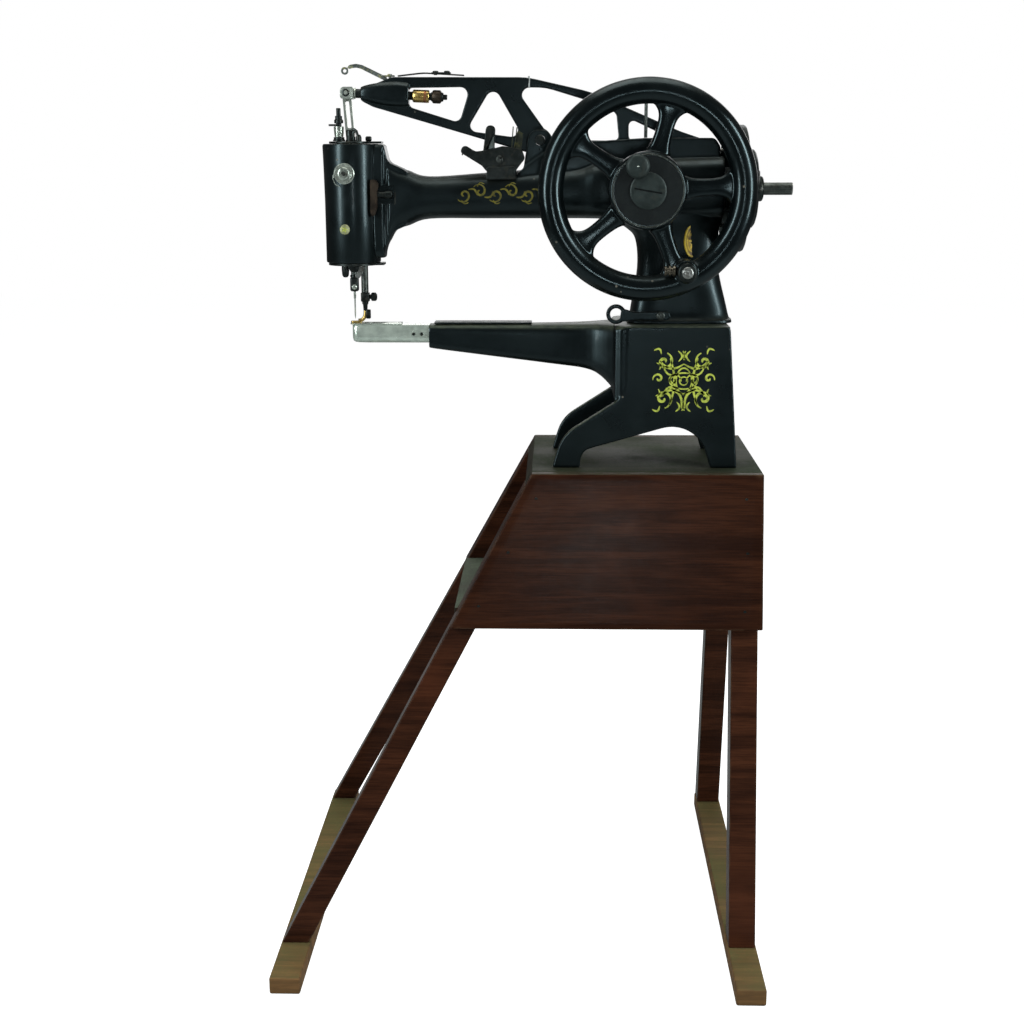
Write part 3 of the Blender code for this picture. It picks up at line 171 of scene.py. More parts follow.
def add_floor():
    """A plain pale floor that runs up to the white background."""
    bm = bmesh.new()
    bmesh.ops.create_grid(bm, x_segments=1, y_segments=1, size=9)
    floor = new_object("floor", bm)
    floor.location = (0, 0, -0.0004)
    shader = Shader("floor_white", FLOOR_WHITE, 0.75)
    shader.set("Emission Color", (1, 1, 1, 1))
    seen = shader.node("LightPath", {}).outputs["Is Camera Ray"]
    shader.feed("Base Color", shader.mix(seen, FLOOR_SHADE, FLOOR_WHITE))
    shader.feed("Emission Strength", shader.span(seen, 0, 1, 0, 0.93))
    floor.data.materials.append(shader.material)


# --- materials -------------------------------------------------------------------------------
class Shader:
    """A Principled material and short ways to add the procedural nodes that feed it."""

    def __init__(self, name, colour, rough, metal=0):
        self.material = bpy.data.materials.new(name)
        self.material.use_nodes = True
        self.tree = self.material.node_tree
        self.main = self.tree.nodes["Principled BSDF"]
        self.set("Base Color", (*colour, 1))
        self.set("Roughness", rough)
        self.set("Metallic", metal)
        self.coords = self.tree.nodes.new("ShaderNodeTexCoord").outputs["Object"]
        self.geometry = self.tree.nodes.new("ShaderNodeNewGeometry")

    def set(self, socket, value):
        self.main.inputs[socket].default_value = value

    def feed(self, socket, output):
        self.tree.links.new(output, self.main.inputs[socket])

    def put(self, socket, value):
        """A constant or another node's output goes into socket."""
        if isinstance(value, bpy.types.NodeSocket):
            self.tree.links.new(value, socket)
        elif isinstance(value, tuple):
            socket.default_value = (*value, 1) if len(value) == 3 and socket.type == "RGBA" else value
        else:
            socket.default_value = value

    def node(self, kind, values, **settings):
        """A new node with its settings, whose sockets get the given constants or outputs."""
        node = self.tree.nodes.new("ShaderNode" + kind)
        for name, setting in settings.items():
            setattr(node, name, setting)
        for socket, value in values.items():
            self.put(node.inputs[socket], value)
        return node

    def stretched(self, scale, turn=(0, 0, 0)):
        return self.node("Mapping", {"Scale": scale, "Rotation": turn,
            "Vector": self.coords}).outputs["Vector"]

    def noise(self, scale, detail=4, rough=0.6, vector=None, distortion=0):
        return self.node("TexNoise", {
            "Scale": scale, "Detail": detail, "Roughness": rough, "Distortion": distortion,
            "Vector": vector or self.coords}).outputs["Fac"]

    def specks(self, scale):
        return self.node("TexVoronoi", {"Scale": scale, "Vector": self.coords}).outputs["Distance"]

    def span(self, value, low, high, out_low=0, out_high=1):
        """Stretches value from low..high to out_low..out_high, clamped."""
        return self.node("MapRange", {
            "Value": value, "From Min": low, "From Max": high, "To Min": out_low, "To Max": out_high,
        }, interpolation_type="SMOOTHSTEP").outputs["Result"]

    def math(self, operation, first, second):
        return self.node("Math", {0: first, 1: second}, operation=operation, use_clamp=True).outputs[0]

    def times(self, first, second):
        return self.math("MULTIPLY", first, second)

    def plus(self, first, second):
        return self.math("ADD", first, second)

    def mix(self, factor, first, second):
        return self.node("Mix", {"Factor": factor, 6: first, 7: second}, data_type="RGBA").outputs[2]

    def upward(self, low, high):
        """1 on faces that look up, 0 on the others."""
        height = self.node("SeparateXYZ", {0: self.geometry.outputs["Normal"]}).outputs["Z"]
        return self.span(height, low, high)

    def edges(self, low, high):
        return self.span(self.geometry.outputs["Pointiness"], low, high)

    def bump(self, height, strength, distance, below=None):
        values = {"Strength": strength, "Distance": distance, "Height": height}
        if below:
            values["Normal"] = below
        return self.node("Bump", values).outputs["Normal"]


def japan(name, edge_wear=0.6, top_dust_and_light_share=0.4, dust_colour=(0.060, 0.056, 0.036), rough=0.27):
    """Glossy black baked enamel over cast iron: orange peel, dust with painted top light on the upward faces,
    rubbed edges and small chips.
    """
    shader = Shader(name, (0.004, 0.006, 0.007), 0.2)
    cloud = shader.noise(9, 5)
    fine = shader.noise(90, 4)
    colour = shader.mix(shader.span(cloud, 0.35, 0.7), (0.0016, 0.0028, 0.0032), (0.0036, 0.0052, 0.0054))
    # Upward faces are mixed towards a pale colour: partly dust, partly painted light falling on the tops.
    dust = shader.times(shader.upward(0.25, 0.90), shader.span(fine, 0.25, 0.75, 0.25, 0.8))
    colour = shader.mix(shader.times(dust, top_dust_and_light_share), colour, dust_colour)
    worn = shader.times(shader.edges(0.53, 0.60), shader.span(shader.noise(45, 4), 0.45, 0.62))
    colour = shader.mix(shader.times(worn, edge_wear), colour, (0.045, 0.042, 0.034))
    chips = shader.times(shader.span(shader.specks(75), 0.13, 0.07),
        shader.span(shader.noise(14, 2), 0.60, 0.66))
    colour = shader.mix(chips, colour, (0.16, 0.14, 0.11))
    shader.feed("Base Color", colour)
    rough = shader.span(shader.noise(26, 6), 0.3, 0.75, rough, rough + 0.13)
    rough = shader.plus(rough, shader.times(dust, 0.40))
    shader.feed("Roughness", shader.plus(rough, shader.times(chips, 0.3)))
    peel = shader.bump(shader.noise(160, 3), 0.10, 0.0006)
    lumps = shader.bump(shader.noise(22, 2), 0.25, 0.0014, peel)
    shader.feed("Normal", shader.bump(shader.math("SUBTRACT", 1, chips), 0.5, 0.0002, lumps))
    shader.set("Specular IOR Level", 0.40)
    shader.set("Specular Tint", (0.72, 0.95, 1, 1))
    shader.set("Coat Weight", 0.10)
    shader.set("Coat Roughness", 0.12)
    return shader.material


def metal(name, bright, dark, rough, stain, stain_share, share=0.85, scratch=(900, 900, 60), level=0.04):
    """Worn metal: cloudy tarnish, stains, and fine scratches that run along one axis."""
    shader = Shader(name, bright, rough, share)
    cloud = shader.noise(60, 6)
    colour = shader.mix(shader.span(cloud, 0.35, 0.68), bright, dark)
    spots = shader.times(shader.span(shader.noise(140, 5), 0.52, 0.66), stain_share)
    shader.feed("Base Color", shader.mix(spots, colour, stain))
    roughness = shader.span(shader.noise(180, 5), 0.3, 0.75, max(rough - 0.08, 0.05), rough + 0.14)
    shader.feed("Roughness", shader.plus(roughness, shader.times(spots, 0.35)))
    lines = shader.noise(1, 2, vector=shader.stretched(scratch))
    pits = shader.bump(shader.noise(420, 3), 0.15, 0.0003)
    shader.feed("Normal", shader.bump(lines, level * 4, 0.0002, pits))
    return shader.material


def stained_wood(name, grain_turn, tint=1, sheen=0.08):
    """Dark mahogany stain in satin varnish.  grain_turn turns the grain, which else runs along X."""
    shader = Shader(name, (0.05, 0.02, 0.012), 0.4)
    along = shader.stretched((1.1, 13, 13), grain_turn)
    fine = shader.stretched((5, 170, 170), grain_turn)
    bands = shader.noise(3.2, 5, 0.62, along, 0.6)
    pores = shader.noise(4, 3, 0.7, fine)
    dark, red = (0.024 * tint, 0.0085 * tint, 0.0048 * tint), (0.062 * tint, 0.0205 * tint, 0.0098 * tint)
    colour = shader.mix(shader.span(bands, 0.32, 0.70), dark, red)
    colour = shader.mix(shader.span(pores, 0.60, 0.36, 0, 0.45), colour, (0.010, 0.0035, 0.0028))
    patches = shader.span(shader.noise(5.5, 3), 0.50, 0.75, 0, 0.5)
    colour = shader.mix(patches, colour, (0.082 * tint, 0.024 * tint, 0.011 * tint))
    worn = shader.times(shader.edges(0.515, 0.56), shader.span(shader.noise(34, 4), 0.40, 0.60))
    colour = shader.mix(shader.times(worn, 0.7), colour, (0.17, 0.095, 0.052))
    dust = shader.times(shader.upward(0.6, 0.95), shader.span(shader.noise(60, 5), 0.3, 0.7, 0.35, 0.9))
    colour = shader.mix(dust, colour, (0.075, 0.072, 0.046))
    shader.feed("Base Color", colour)
    rough = shader.span(shader.noise(18, 5), 0.3, 0.7, 0.21, 0.27)
    shader.feed("Roughness", shader.plus(rough, shader.times(dust, 0.4)))
    ripple = shader.bump(bands, 0.06, 0.0008)
    shader.feed("Normal", shader.bump(pores, 0.22, 0.0003, ripple))
    shader.set("Specular IOR Level", sheen)
    return shader.material


def dusty_wood(name, grain_turn, dust_colour, side_colour, dark_colour):
    """Bare or painted timber whose upper faces carry grey-green dust; the sides show the rubbed wood."""
    shader = Shader(name, side_colour, 0.7)
    along = shader.stretched((1.4, 22, 22), grain_turn)
    fine = shader.stretched((7, 210, 210), grain_turn)
    bands = shader.noise(3.5, 5, 0.6, along, 0.5)
    pores = shader.noise(3.5, 3, 0.7, fine)
    wood = shader.mix(shader.span(bands, 0.3, 0.72), dark_colour, side_colour)
    wood = shader.mix(shader.span(pores, 0.58, 0.36, 0, 0.5), wood, dark_colour)
    smudge = shader.span(shader.noise(7, 5), 0.38, 0.66, 0.35, 1)
    specks = shader.span(shader.noise(240, 3), 0.35, 0.65, 0.72, 1)
    dust = shader.times(shader.upward(0.55, 0.95), shader.times(smudge, specks))
    shader.feed("Base Color", shader.mix(dust, wood, dust_colour))
    shader.feed("Roughness", shader.span(dust, 0, 1, 0.55, 0.93))
    shader.set("Specular IOR Level", 0.2)
    grain = shader.bump(pores, 0.3, 0.0004)
    shader.feed("Normal", shader.bump(specks, 0.25, 0.0004, grain))
    return shader.material


def gilt(name, bright, worn):
    """Old gold transfer, worn thin in places."""
    shader = Shader(name, bright, 0.45, 0.15)
    wear = shader.span(shader.noise(150, 5), 0.40, 0.68)
    shader.feed("Base Color", shader.mix(wear, bright, worn))
    shader.feed("Roughness", shader.span(shader.noise(90, 4), 0.3, 0.7, 0.35, 0.6))
    shader.feed("Normal", shader.bump(shader.noise(500, 3), 0.2, 0.0002))
    return shader.material


# look: material name, bright and dark metal, roughness, stain and its share; then metallic share, scratches
# along which axis, and their depth, where they differ from metal()'s own
METALS = {
    "steel": ("worn_steel", (0.36, 0.36, 0.34), (0.2, 0.2, 0.185), 0.3, (0.1, 0.075, 0.05), 0.5),
    "gun_steel": ("gun_steel", (0.105, 0.115, 0.106), (0.055, 0.062, 0.057), 0.34, (0.05, 0.04, 0.03), 0.4),
    "nickel": ("tarnished_nickel", (0.62, 0.66, 0.58), (0.38, 0.41, 0.36), 0.2, (0.22, 0.2, 0.14), 0.35,
        0.65, (60, 900, 900)),
    "tip_nickel": ("polished_nickel", (0.78, 0.85, 0.74), (0.55, 0.61, 0.53), 0.14, (0.36, 0.37, 0.28),
        0.22, 0.5, (40, 700, 700), 0.03),
    "dark_steel": ("blackened_steel", (0.04, 0.046, 0.044), (0.017, 0.021, 0.02), 0.36, (0.1, 0.085, 0.06),
        0.25),
    "hub_black": ("hub_black", (0.0045, 0.008, 0.0082), (0.0025, 0.0048, 0.005), 0.5, (0.016, 0.02, 0.018),
        0.25, 0.4),
    "wheel_steel": ("wheel_screw_steel", (0.034, 0.046, 0.043), (0.02, 0.028, 0.026), 0.42,
        (0.06, 0.06, 0.048), 0.25, 0.5),
    "bronze_steel": ("bronze_steel", (0.19, 0.165, 0.125), (0.085, 0.07, 0.05), 0.3, (0.045, 0.03, 0.02),
        0.4, 0.8),
    "hook_steel": ("hook_steel", (0.22, 0.24, 0.22), (0.1, 0.115, 0.105), 0.34, (0.46, 0.42, 0.14), 0.7,
        0.6),
    "brown_steel": ("brown_steel", (0.075, 0.055, 0.04), (0.03, 0.023, 0.018), 0.4, (0.16, 0.1, 0.06), 0.3),
    "brass": ("aged_brass", (0.74, 0.52, 0.17), (0.5, 0.33, 0.1), 0.24, (0.3, 0.12, 0.05), 0.5),
    "spring_steel": ("spring_steel", (0.075, 0.08, 0.055), (0.03, 0.034, 0.026), 0.36, (0.2, 0.18, 0.05),
        0.4),
    "pale_brass": ("pale_brass", (0.62, 0.62, 0.34), (0.34, 0.34, 0.18), 0.3, (0.16, 0.14, 0.06), 0.5, 0.5),
    "copper": ("heated_brass", (0.55, 0.22, 0.09), (0.36, 0.15, 0.07), 0.34, (0.16, 0.07, 0.04), 0.5),
}


def make_materials():
    turn_leg = (0, math.radians(90), 0)
    along_y = (0, 0, math.radians(90))
    return {
        "japan": japan("black_japan"),
        # The base casting's upward faces take the full share of dust and painted top light.
        "base_japan": japan("base_japan", 0.7, 1, (0.120, 0.130, 0.080)),
        "wheel_japan": japan("wheel_japan", 0.5, 0.10, rough=0.15),
        "panel": stained_wood("mahogany_panel", (0, 0, 0)),
        "leg": stained_wood("mahogany_leg", turn_leg, 1.35, 0.08),
        "slanted_leg": stained_wood("mahogany_slanted_leg", (0, math.radians(62), 0), 1.25, 0.08),
        "board": dusty_wood("dusty_board", (0, 0, 0), (0.036, 0.052, 0.025), (0.042, 0.034, 0.020),
                            (0.018, 0.016, 0.011)),
        "shelf": dusty_wood("dusty_shelf", (0, 0, 0), (0.150, 0.180, 0.130), (0.050, 0.038, 0.022),
                            (0.020, 0.016, 0.011)),
        "runner": dusty_wood("worn_runner", along_y, (0.145, 0.132, 0.050), (0.34, 0.165, 0.058),
                             (0.125, 0.068, 0.028)),
        **{look: metal(*row) for look, row in METALS.items()},
        "white_tape": gilt("white_tape", (0.75, 0.76, 0.74), (0.50, 0.50, 0.48)),
        "gilt": gilt("old_gilt", (0.66, 0.72, 0.10), (0.30, 0.34, 0.05)),
        "dim_gilt": gilt("dim_gilt", (0.22, 0.185, 0.020), (0.075, 0.065, 0.012)),
        "badge_field": gilt("badge_field", (0.34, 0.21, 0.010), (0.10, 0.050, 0.006)),
        "badge_gilt": gilt("badge_gilt", (0.62, 0.42, 0.015), (0.24, 0.15, 0.008)),
    }


# --- mesh helpers ----------------------------------------------------------------------------
def new_object(name, bm):
    """An object in the scene from a bmesh, which is then freed."""
    mesh = bpy.data.meshes.new(name)
    bm.to_mesh(mesh)
    bm.free()
    return stage_object(name, mesh)


def shade(mesh, smooth=SHARP):
    """Smooth shading, with edges sharper than smooth degrees kept crisp."""
    mesh.shade_smooth()
    if smooth:
        mesh.set_sharp_from_angle(angle=math.radians(smooth))


def evaluated_mesh(obj):
    graph = bpy.context.evaluated_depsgraph_get()
    return bpy.data.meshes.new_from_object(obj.evaluated_get(graph))


def merged(name, objects):
    """The meshes of several objects in one new object; the objects are removed."""
    bm = bmesh.new()
    for obj in objects:
        mesh = evaluated_mesh(obj)
        bm.from_mesh(mesh)
        bpy.data.meshes.remove(mesh)
    for obj in objects:
        bpy.data.objects.remove(obj, do_unlink=True)
    return new_object(name, bm)


def object_from(name, bm, smooth=SHARP):
    """A mesh object in the CAD frame from a bmesh drawn in millimetres of the drawing frame."""
    bmesh.ops.recalc_face_normals(bm, faces=bm.faces)
    if bm.calc_volume(signed=True) < 0:
        bmesh.ops.reverse_faces(bm, faces=bm.faces)
    for vertex in bm.verts:
        vertex.co = place(vertex.co)
    obj = new_object(name, bm)
    shade(obj.data, smooth)
    return obj


def apply_modifiers(obj, smooth=SHARP):
    mesh = evaluated_mesh(obj)
    obj.modifiers.clear()
    old = obj.data
    obj.data = mesh
    bpy.data.meshes.remove(old)
    mesh.name = obj.name
    shade(mesh, smooth)
    return obj


def rounded(obj, width, segments=2, angle=35):
    bevel = obj.modifiers.new("rounded_edges", "BEVEL")
    bevel.width = width * MM
    bevel.segments = segments
    bevel.limit_method = "ANGLE"
    bevel.angle_limit = math.radians(angle)
    bevel.harden_normals = False
    return obj


TURN = {
    "X": rotation(90, "Y"),
    "Y": rotation(-90, "X"),
    "Z": Matrix.Identity(4),
}


def on_axis(axis, centre):
    """The turn and shift that put a piece drawn round Z onto the axis through centre."""
    spot = {"X": (0, *centre), "Y": (centre[0], 0, centre[1]), "Z": (*centre, 0)}[axis]
    return Matrix.Translation(spot) @ TURN[axis]


def cube():
    bm = bmesh.new()
    bmesh.ops.create_cube(bm, size=1)
    return bm


def block(name, low, high, bevel=0, segments=2):
    bm = cube()
    for vertex in bm.verts:
        vertex.co = Vector([high[i] if vertex.co[i] > 0 else low[i] for i in range(3)])
    obj = object_from(name, bm)
    return rounded(obj, bevel, segments) if bevel else obj


def lathe(name, axis, centre, profile, steps=64, bevel=0, sectors=None):
    """A turned piece.  profile is (radius, place along the axis) and closes on itself or on the axis."""
    bm = bmesh.new()
    into = on_axis(axis, centre)
    rings = []
    for radius, along in profile:
        if radius < 1e-6:
            rings.append([bm.verts.new(into @ Vector((0, 0, along)))])
            continue
        loop = []
        for k in range(steps):
            turn = math.tau * k / steps
            reach = radius * (sectors(turn) if sectors else 1)
            loop.append(bm.verts.new(into @ Vector((reach * math.cos(turn), reach * math.sin(turn), along))))
        rings.append(loop)
    pairs = list(zip(rings, rings[1:]))
    if profile[0][0] > 0:
        pairs.append((rings[-1], rings[0]))
    for first, second in pairs:
        for k in range(steps):
            a, b = first[k % len(first)], first[(k + 1) % len(first)]
            c, d = second[(k + 1) % len(second)], second[k % len(second)]
            corners = list(dict.fromkeys((a, b, c, d)))
            if len(corners) > 2:
                bm.faces.new(corners)
    obj = object_from(name, bm)
    return rounded(obj, bevel) if bevel else obj


def rod(name, axis, centre, radius, start, end, steps):
    return lathe(name, axis, centre, [(0, start), (radius, start), (radius, end), (0, end)], steps)


def dome(radius, start, height, steps=7):
    """Profile points of a low dome that ends on the axis; height may be negative."""
    points = []
    for k in range(steps + 1):
        turn = math.pi / 2 * k / steps
        points.append((radius * math.cos(turn), start + height * math.sin(turn)))
    points[-1] = (0, start + height)
    return points


def filleted(corners, step_deg=9):
    """Corners (x, z) or (x, z, radius) turned into an outline with arcs."""
    points = []
    count = len(corners)
    for i, corner in enumerate(corners):
        here = Vector(corner[:2])
        radius = corner[2] if len(corner) > 2 else 0
        if not radius:
            points.append(here)
            continue
        back = (Vector(corners[i - 1][:2]) - here).normalized()
        ahead = (Vector(corners[(i + 1) % count][:2]) - here).normalized()
        half = back.angle(ahead) / 2
        centre = here + (back + ahead).normalized() * (radius / math.sin(half))
        first = here + back * (radius / math.tan(half)) - centre
        last = here + ahead * (radius / math.tan(half)) - centre
        sweep = first.angle_signed(last)
        steps = max(2, round(abs(math.degrees(sweep)) / step_deg))
        for k in range(steps + 1):
            turn = -sweep * k / steps
            c, s = math.cos(turn), math.sin(turn)
            points.append(centre + Vector((first.x * c - first.y * s, first.x * s + first.y * c)))
    return points


def polar(centre, radius, turn):
    return centre[0] + radius * math.cos(turn), centre[1] + radius * math.sin(turn)


def ring(x, z, radius, sides=40):
    return [Vector(polar((x, z), radius, math.tau * k / sides)) for k in range(sides)]


def curve_mesh(curve):
    """The mesh of a curve, which is then removed."""
    drawing = stage_object("drawing", curve)
    mesh = evaluated_mesh(drawing)
    bpy.data.objects.remove(drawing, do_unlink=True)
    bm = bmesh.new()
    bm.from_mesh(mesh)
    bmesh.ops.remove_doubles(bm, verts=bm.verts, dist=0.0005)
    return bm


def plate(name, outlines, low, high, plane="XZ", bevel=0):
    """A flat piece between two planes: the first outline is its edge, the others are holes."""
    curve = bpy.data.curves.new(name, "CURVE")
    curve.dimensions = "2D"
    curve.fill_mode = "BOTH"
    curve.extrude = (high - low) / 2
    for outline in outlines:
        spline = curve.splines.new("POLY")
        spline.points.add(len(outline) - 1)
        for point, corner in zip(spline.points, outline):
            point.co = (corner[0], corner[1], 0, 1)
        spline.use_cyclic_u = True
    bm = curve_mesh(curve)
    centre = (low + high) / 2
    for vertex in bm.verts:
        a, b, c = vertex.co
        vertex.co = {
            "XZ": Vector((a, centre - c, b)),
            "XY": Vector((a, b, centre + c)),
            "YZ": Vector((centre + c, a, b)),
        }[plane]
    bmesh.ops.dissolve_limit(bm, angle_limit=0.001, verts=bm.verts, edges=bm.edges)
    obj = object_from(name, bm)
    return rounded(obj, bevel) if bevel else obj


def tube(name, points, radius, sides=6):
    curve = bpy.data.curves.new(name, "CURVE")
    curve.dimensions = "3D"
    curve.bevel_depth = radius
    curve.bevel_resolution = sides
    curve.use_fill_caps = True
    spline = curve.splines.new("POLY")
    spline.points.add(len(points) - 1)
    for point, spot in zip(spline.points, points):
        point.co = (*spot, 1)
    return object_from(name, curve_mesh(curve))


def skin(name, rows):
    """A closed object from rings of points: each ring is joined to the next, and both ends are capped."""
    bm = bmesh.new()
    rings = [[bm.verts.new(spot) for spot in row] for row in rows]
    for lower, upper in zip(rings, rings[1:]):
        for k in range(len(lower)):
            bm.faces.new((lower[k], lower[k - 1], upper[k - 1], upper[k]))
    bm.faces.new(rings[0])
    bm.faces.new(rings[-1][::-1])
    return object_from(name, bm)


def squared_circle(sides, power):
    """Points of a unit circle; the smaller the power, the squarer."""
    points = []
    for k in range(sides):
        turn = math.tau * (k + 0.5) / sides
        points.append([math.copysign(abs(part) ** power, part) for part in (math.cos(turn), math.sin(turn))])
    return points


def loft(name, axis, sections, sides=72):
    """Rounded sections along an axis: (place, low, high, half_depth, squareness)."""
    rows = []
    for spot, low, high, half_depth, square in sections:
        row = []
        for c, s in squared_circle(sides, 2 / square):
            across = (low + high) / 2 + (high - low) / 2 * c
            depth = MID + half_depth * s
            row.append((spot, depth, across) if axis == "X" else (across, depth, spot))
        rows.append(row)
    return skin(name, rows)


def smooth_sections(sections, between=4):
    """More sections between the given ones, on a smooth curve through them."""
    out = []
    count = len(sections)
    for i in range(count - 1):
        before, a, b, after = (
            sections[max(i - 1, 0)], sections[i], sections[i + 1], sections[min(i + 2, count - 1)]
        )
        for k in range(between):
            t = k / between
            row = []
            for p0, p1, p2, p3 in zip(before, a, b, after):
                bend = 2 * p1 + (p2 - p0) * t + (2 * p0 - 5 * p1 + 4 * p2 - p3) * t * t
                row.append(0.5 * (bend + (3 * p1 - p0 - 3 * p2 + p3) * t ** 3))
            out.append(tuple(row))
    out.append(tuple(sections[-1]))
    return out


def combine(obj, tools, operation):
    """One Boolean with each tool; the tools are removed."""
    for tool in tools:
        modifier = obj.modifiers.new(operation.lower(), "BOOLEAN")
        modifier.operation = operation
        modifier.object = tool
    apply_modifiers(obj)
    for tool in tools:
        bpy.data.objects.remove(tool, do_unlink=True)
    return obj


def cut(obj, *tools):
    return combine(obj, tools, "DIFFERENCE")


def cast(name, objects, voxel=1.3, passes=6):
    """Overlapping solids made one casting: a voxel remesh and a smoothing round every corner."""
    casting = merged(name, objects)
    remesh = casting.modifiers.new("remesh", "REMESH")
    remesh.mode = "VOXEL"
    remesh.voxel_size = voxel * MM
    ease = casting.modifiers.new("ease", "SMOOTH")
    ease.factor = 0.5
    ease.iterations = passes
    return apply_modifiers(casting, smooth=0)


def piece(obj, body, look, *nodes, slot=None):
    """Gives a piece its material and body, and hides the CAD nodes that it stands for; slot is not used."""
    obj.data.materials.clear()
    obj.data.materials.append(LOOKS[look])
    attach(obj, body)
    if nodes:
        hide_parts(*nodes)
    return obj


def screw_head(name, axis, centre, start, direction, radius, height, slot_turn=0, slot_wide=1.4):
    """A cheese-head screw with a saw slot.  start is its seat, direction the way that its head faces."""
    top = start + direction * height
    profile = [(0, start - direction * 3), (radius * 0.6, start - direction * 3), (radius * 0.6, start),
               (radius, start), (radius, top - direction * height * 0.3)]
    profile += dome(radius * 0.92, top - direction * height * 0.15, direction * height * 0.3, 4)
    head = lathe(name, axis, centre, profile, 36)
    bm = cube()
    scale = Matrix.Diagonal((radius * 2.6, slot_wide, height * 0.9, 1))
    lift = Matrix.Translation((0, 0, top + direction * height * 0.15))
    turn = rotation(slot_turn, "Z")
    bm.transform(on_axis(axis, centre) @ turn @ lift @ scale)
    return cut(head, object_from(name + "_slot", bm))


# --- wooden stand ----------------------------------------------------------------------------
def splayed(y, z):
    return y + SPLAY * z


def mirrored(pair):
    return (BOARD_DEPTH - pair[1], BOARD_DEPTH - pair[0])


def leaning(x, z):
    return x + LEAN * z


def timber(name, z_low, z_high, x_low, x_high, y_low, y_high, bevel=1.6):
    """A plank whose two ends are different rectangles, with eased edges and faint dents along it."""
    bm = cube()
    for vertex in bm.verts:
        upper = vertex.co.z > 0
        xs = x_high if upper else x_low
        ys = y_high if upper else y_low
        vertex.co = Vector((xs[vertex.co.x > 0], ys[vertex.co.y > 0], z_high if upper else z_low))
    bmesh.ops.bevel(bm, geom=bm.edges[:], offset=bevel, segments=3, profile=0.5, affect="EDGES")
    bmesh.ops.subdivide_edges(bm, edges=[e for e in bm.edges if e.calc_length() > 25], cuts=TIMBER_CUTS,
        use_grid_fill=True)
    seed = Vector((len(name) * 7.3, z_low * 0.11, x_low[0] * 0.07))
    centre = sum((v.co for v in bm.verts), Vector()) / len(bm.verts)
    for vertex in bm.verts:
        inward = (centre - vertex.co).normalized()
        wave = noise.noise(vertex.co * 0.045 + seed) * 0.5 + 0.5
        vertex.co += inward * DENTS * wave
    bmesh.ops.triangulate(bm, faces=[f for f in bm.faces if len(f.verts) > 4])
    return object_from(name, bm, 30)


def build_stand():
    low, under = -PANEL_HEIGHT, -BOARD_THICK
    top_y = (PANEL_THICK + GAP, BOARD_DEPTH - PANEL_THICK - GAP)
    board = timber(
        "board_top", under, 0, (leaning(BOARD_LEFT, under), BOARD_RIGHT), (BOARD_LEFT, BOARD_RIGHT),
        (splayed(top_y[0], under), top_y[1] - SPLAY * under), top_y, 1.2)
    piece(board, ROOT, "board", "stand_top_board")
    xs_low, xs_high = (leaning(BOARD_LEFT, low), BOARD_RIGHT), (BOARD_LEFT, BOARD_RIGHT)
    ys_high, ys_low = (0, PANEL_THICK), (splayed(0, low), splayed(PANEL_THICK, low))
    front = timber("panel_front", low, 0, xs_low, xs_high, ys_low, ys_high, 1.4)
    piece(front, ROOT, "panel", "stand_front_panel")
    rear = timber("panel_rear", low, 0, xs_low, xs_high, mirrored(ys_low), mirrored(ys_high), 1.4)
    piece(rear, ROOT, "panel", "stand_rear_panel")
    foot, head = -STAND_HEIGHT + RUNNER_THICK + GAP, under - GAP
    leg_y = PANEL_THICK + GAP, PANEL_THICK + GAP + LEG_DEEP
    foot_y = splayed(leg_y[0], foot), splayed(leg_y[1], foot)
    head_y = splayed(leg_y[0], head), splayed(leg_y[1], head)
    left_foot = leaning(BOARD_LEFT, foot), leaning(BOARD_LEFT, foot) + LEG_WIDE
    left_head = leaning(BOARD_LEFT, head), leaning(BOARD_LEFT, head) + LEG_WIDE
    right = RIGHT_LEG_LEFT, RIGHT_LEG_LEFT + LEG_WIDE
    for side, x_foot, x_head, look in (("left", left_foot, left_head, "slanted_leg"),
        ("right", right, right, "leg")):
        leg = timber("front_leg_" + side, foot, head, x_foot, x_head, foot_y, head_y)
        piece(leg, ROOT, look, "leg_front_" + side)
        leg = timber("rear_leg_" + side, foot, head, x_foot, x_head, mirrored(foot_y), mirrored(head_y))
        piece(leg, ROOT, look, "leg_rear_" + side)
    build_runners()
    build_shelf(leg_y)
    build_nails()


def build_runners():
    """Floor runners with worn, rounded front ends."""
    for side, (x_low, x_high, front) in RUNNERS.items():
        xs, ys = (x_low, x_high), (front, RUNNER_REAR)
        runner = timber("floor_runner_" + side, -STAND_HEIGHT, -STAND_HEIGHT + RUNNER_THICK, xs,
            xs, ys, ys, 2.6)
        floor = place((0, 0, -STAND_HEIGHT)).z
        for vertex in runner.data.vertices:
            vertex.co.z = max(vertex.co.z, floor)
        piece(runner, ROOT, "runner", "runner_" + side)


def build_shelf(leg_y):
    front = splayed(PANEL_THICK, SHELF_TOP) + 2 * GAP
    leg_rear = splayed(leg_y[1], SHELF_TOP) + GAP
    right, left = RIGHT_LEG_LEFT - GAP, leaning(BOARD_LEFT, SHELF_TOP) + LEG_WIDE + GAP
    half = [(left, front), (right, front), (right, leg_rear), (BOARD_RIGHT, leg_rear)]
    notch = [(SHELF_LEFT, leg_rear), (left, leg_rear)]
    back = [(x, BOARD_DEPTH - y) for x, y in reversed(half)]
    back_notch = [(x, BOARD_DEPTH - y) for x, y in reversed(notch)]
    shelf = plate("shelf_board", [half + back + back_notch + notch], -PANEL_HEIGHT, SHELF_TOP, "XY", 0.9)
    piece(shelf, ROOT, "shelf", "stand_shelf")


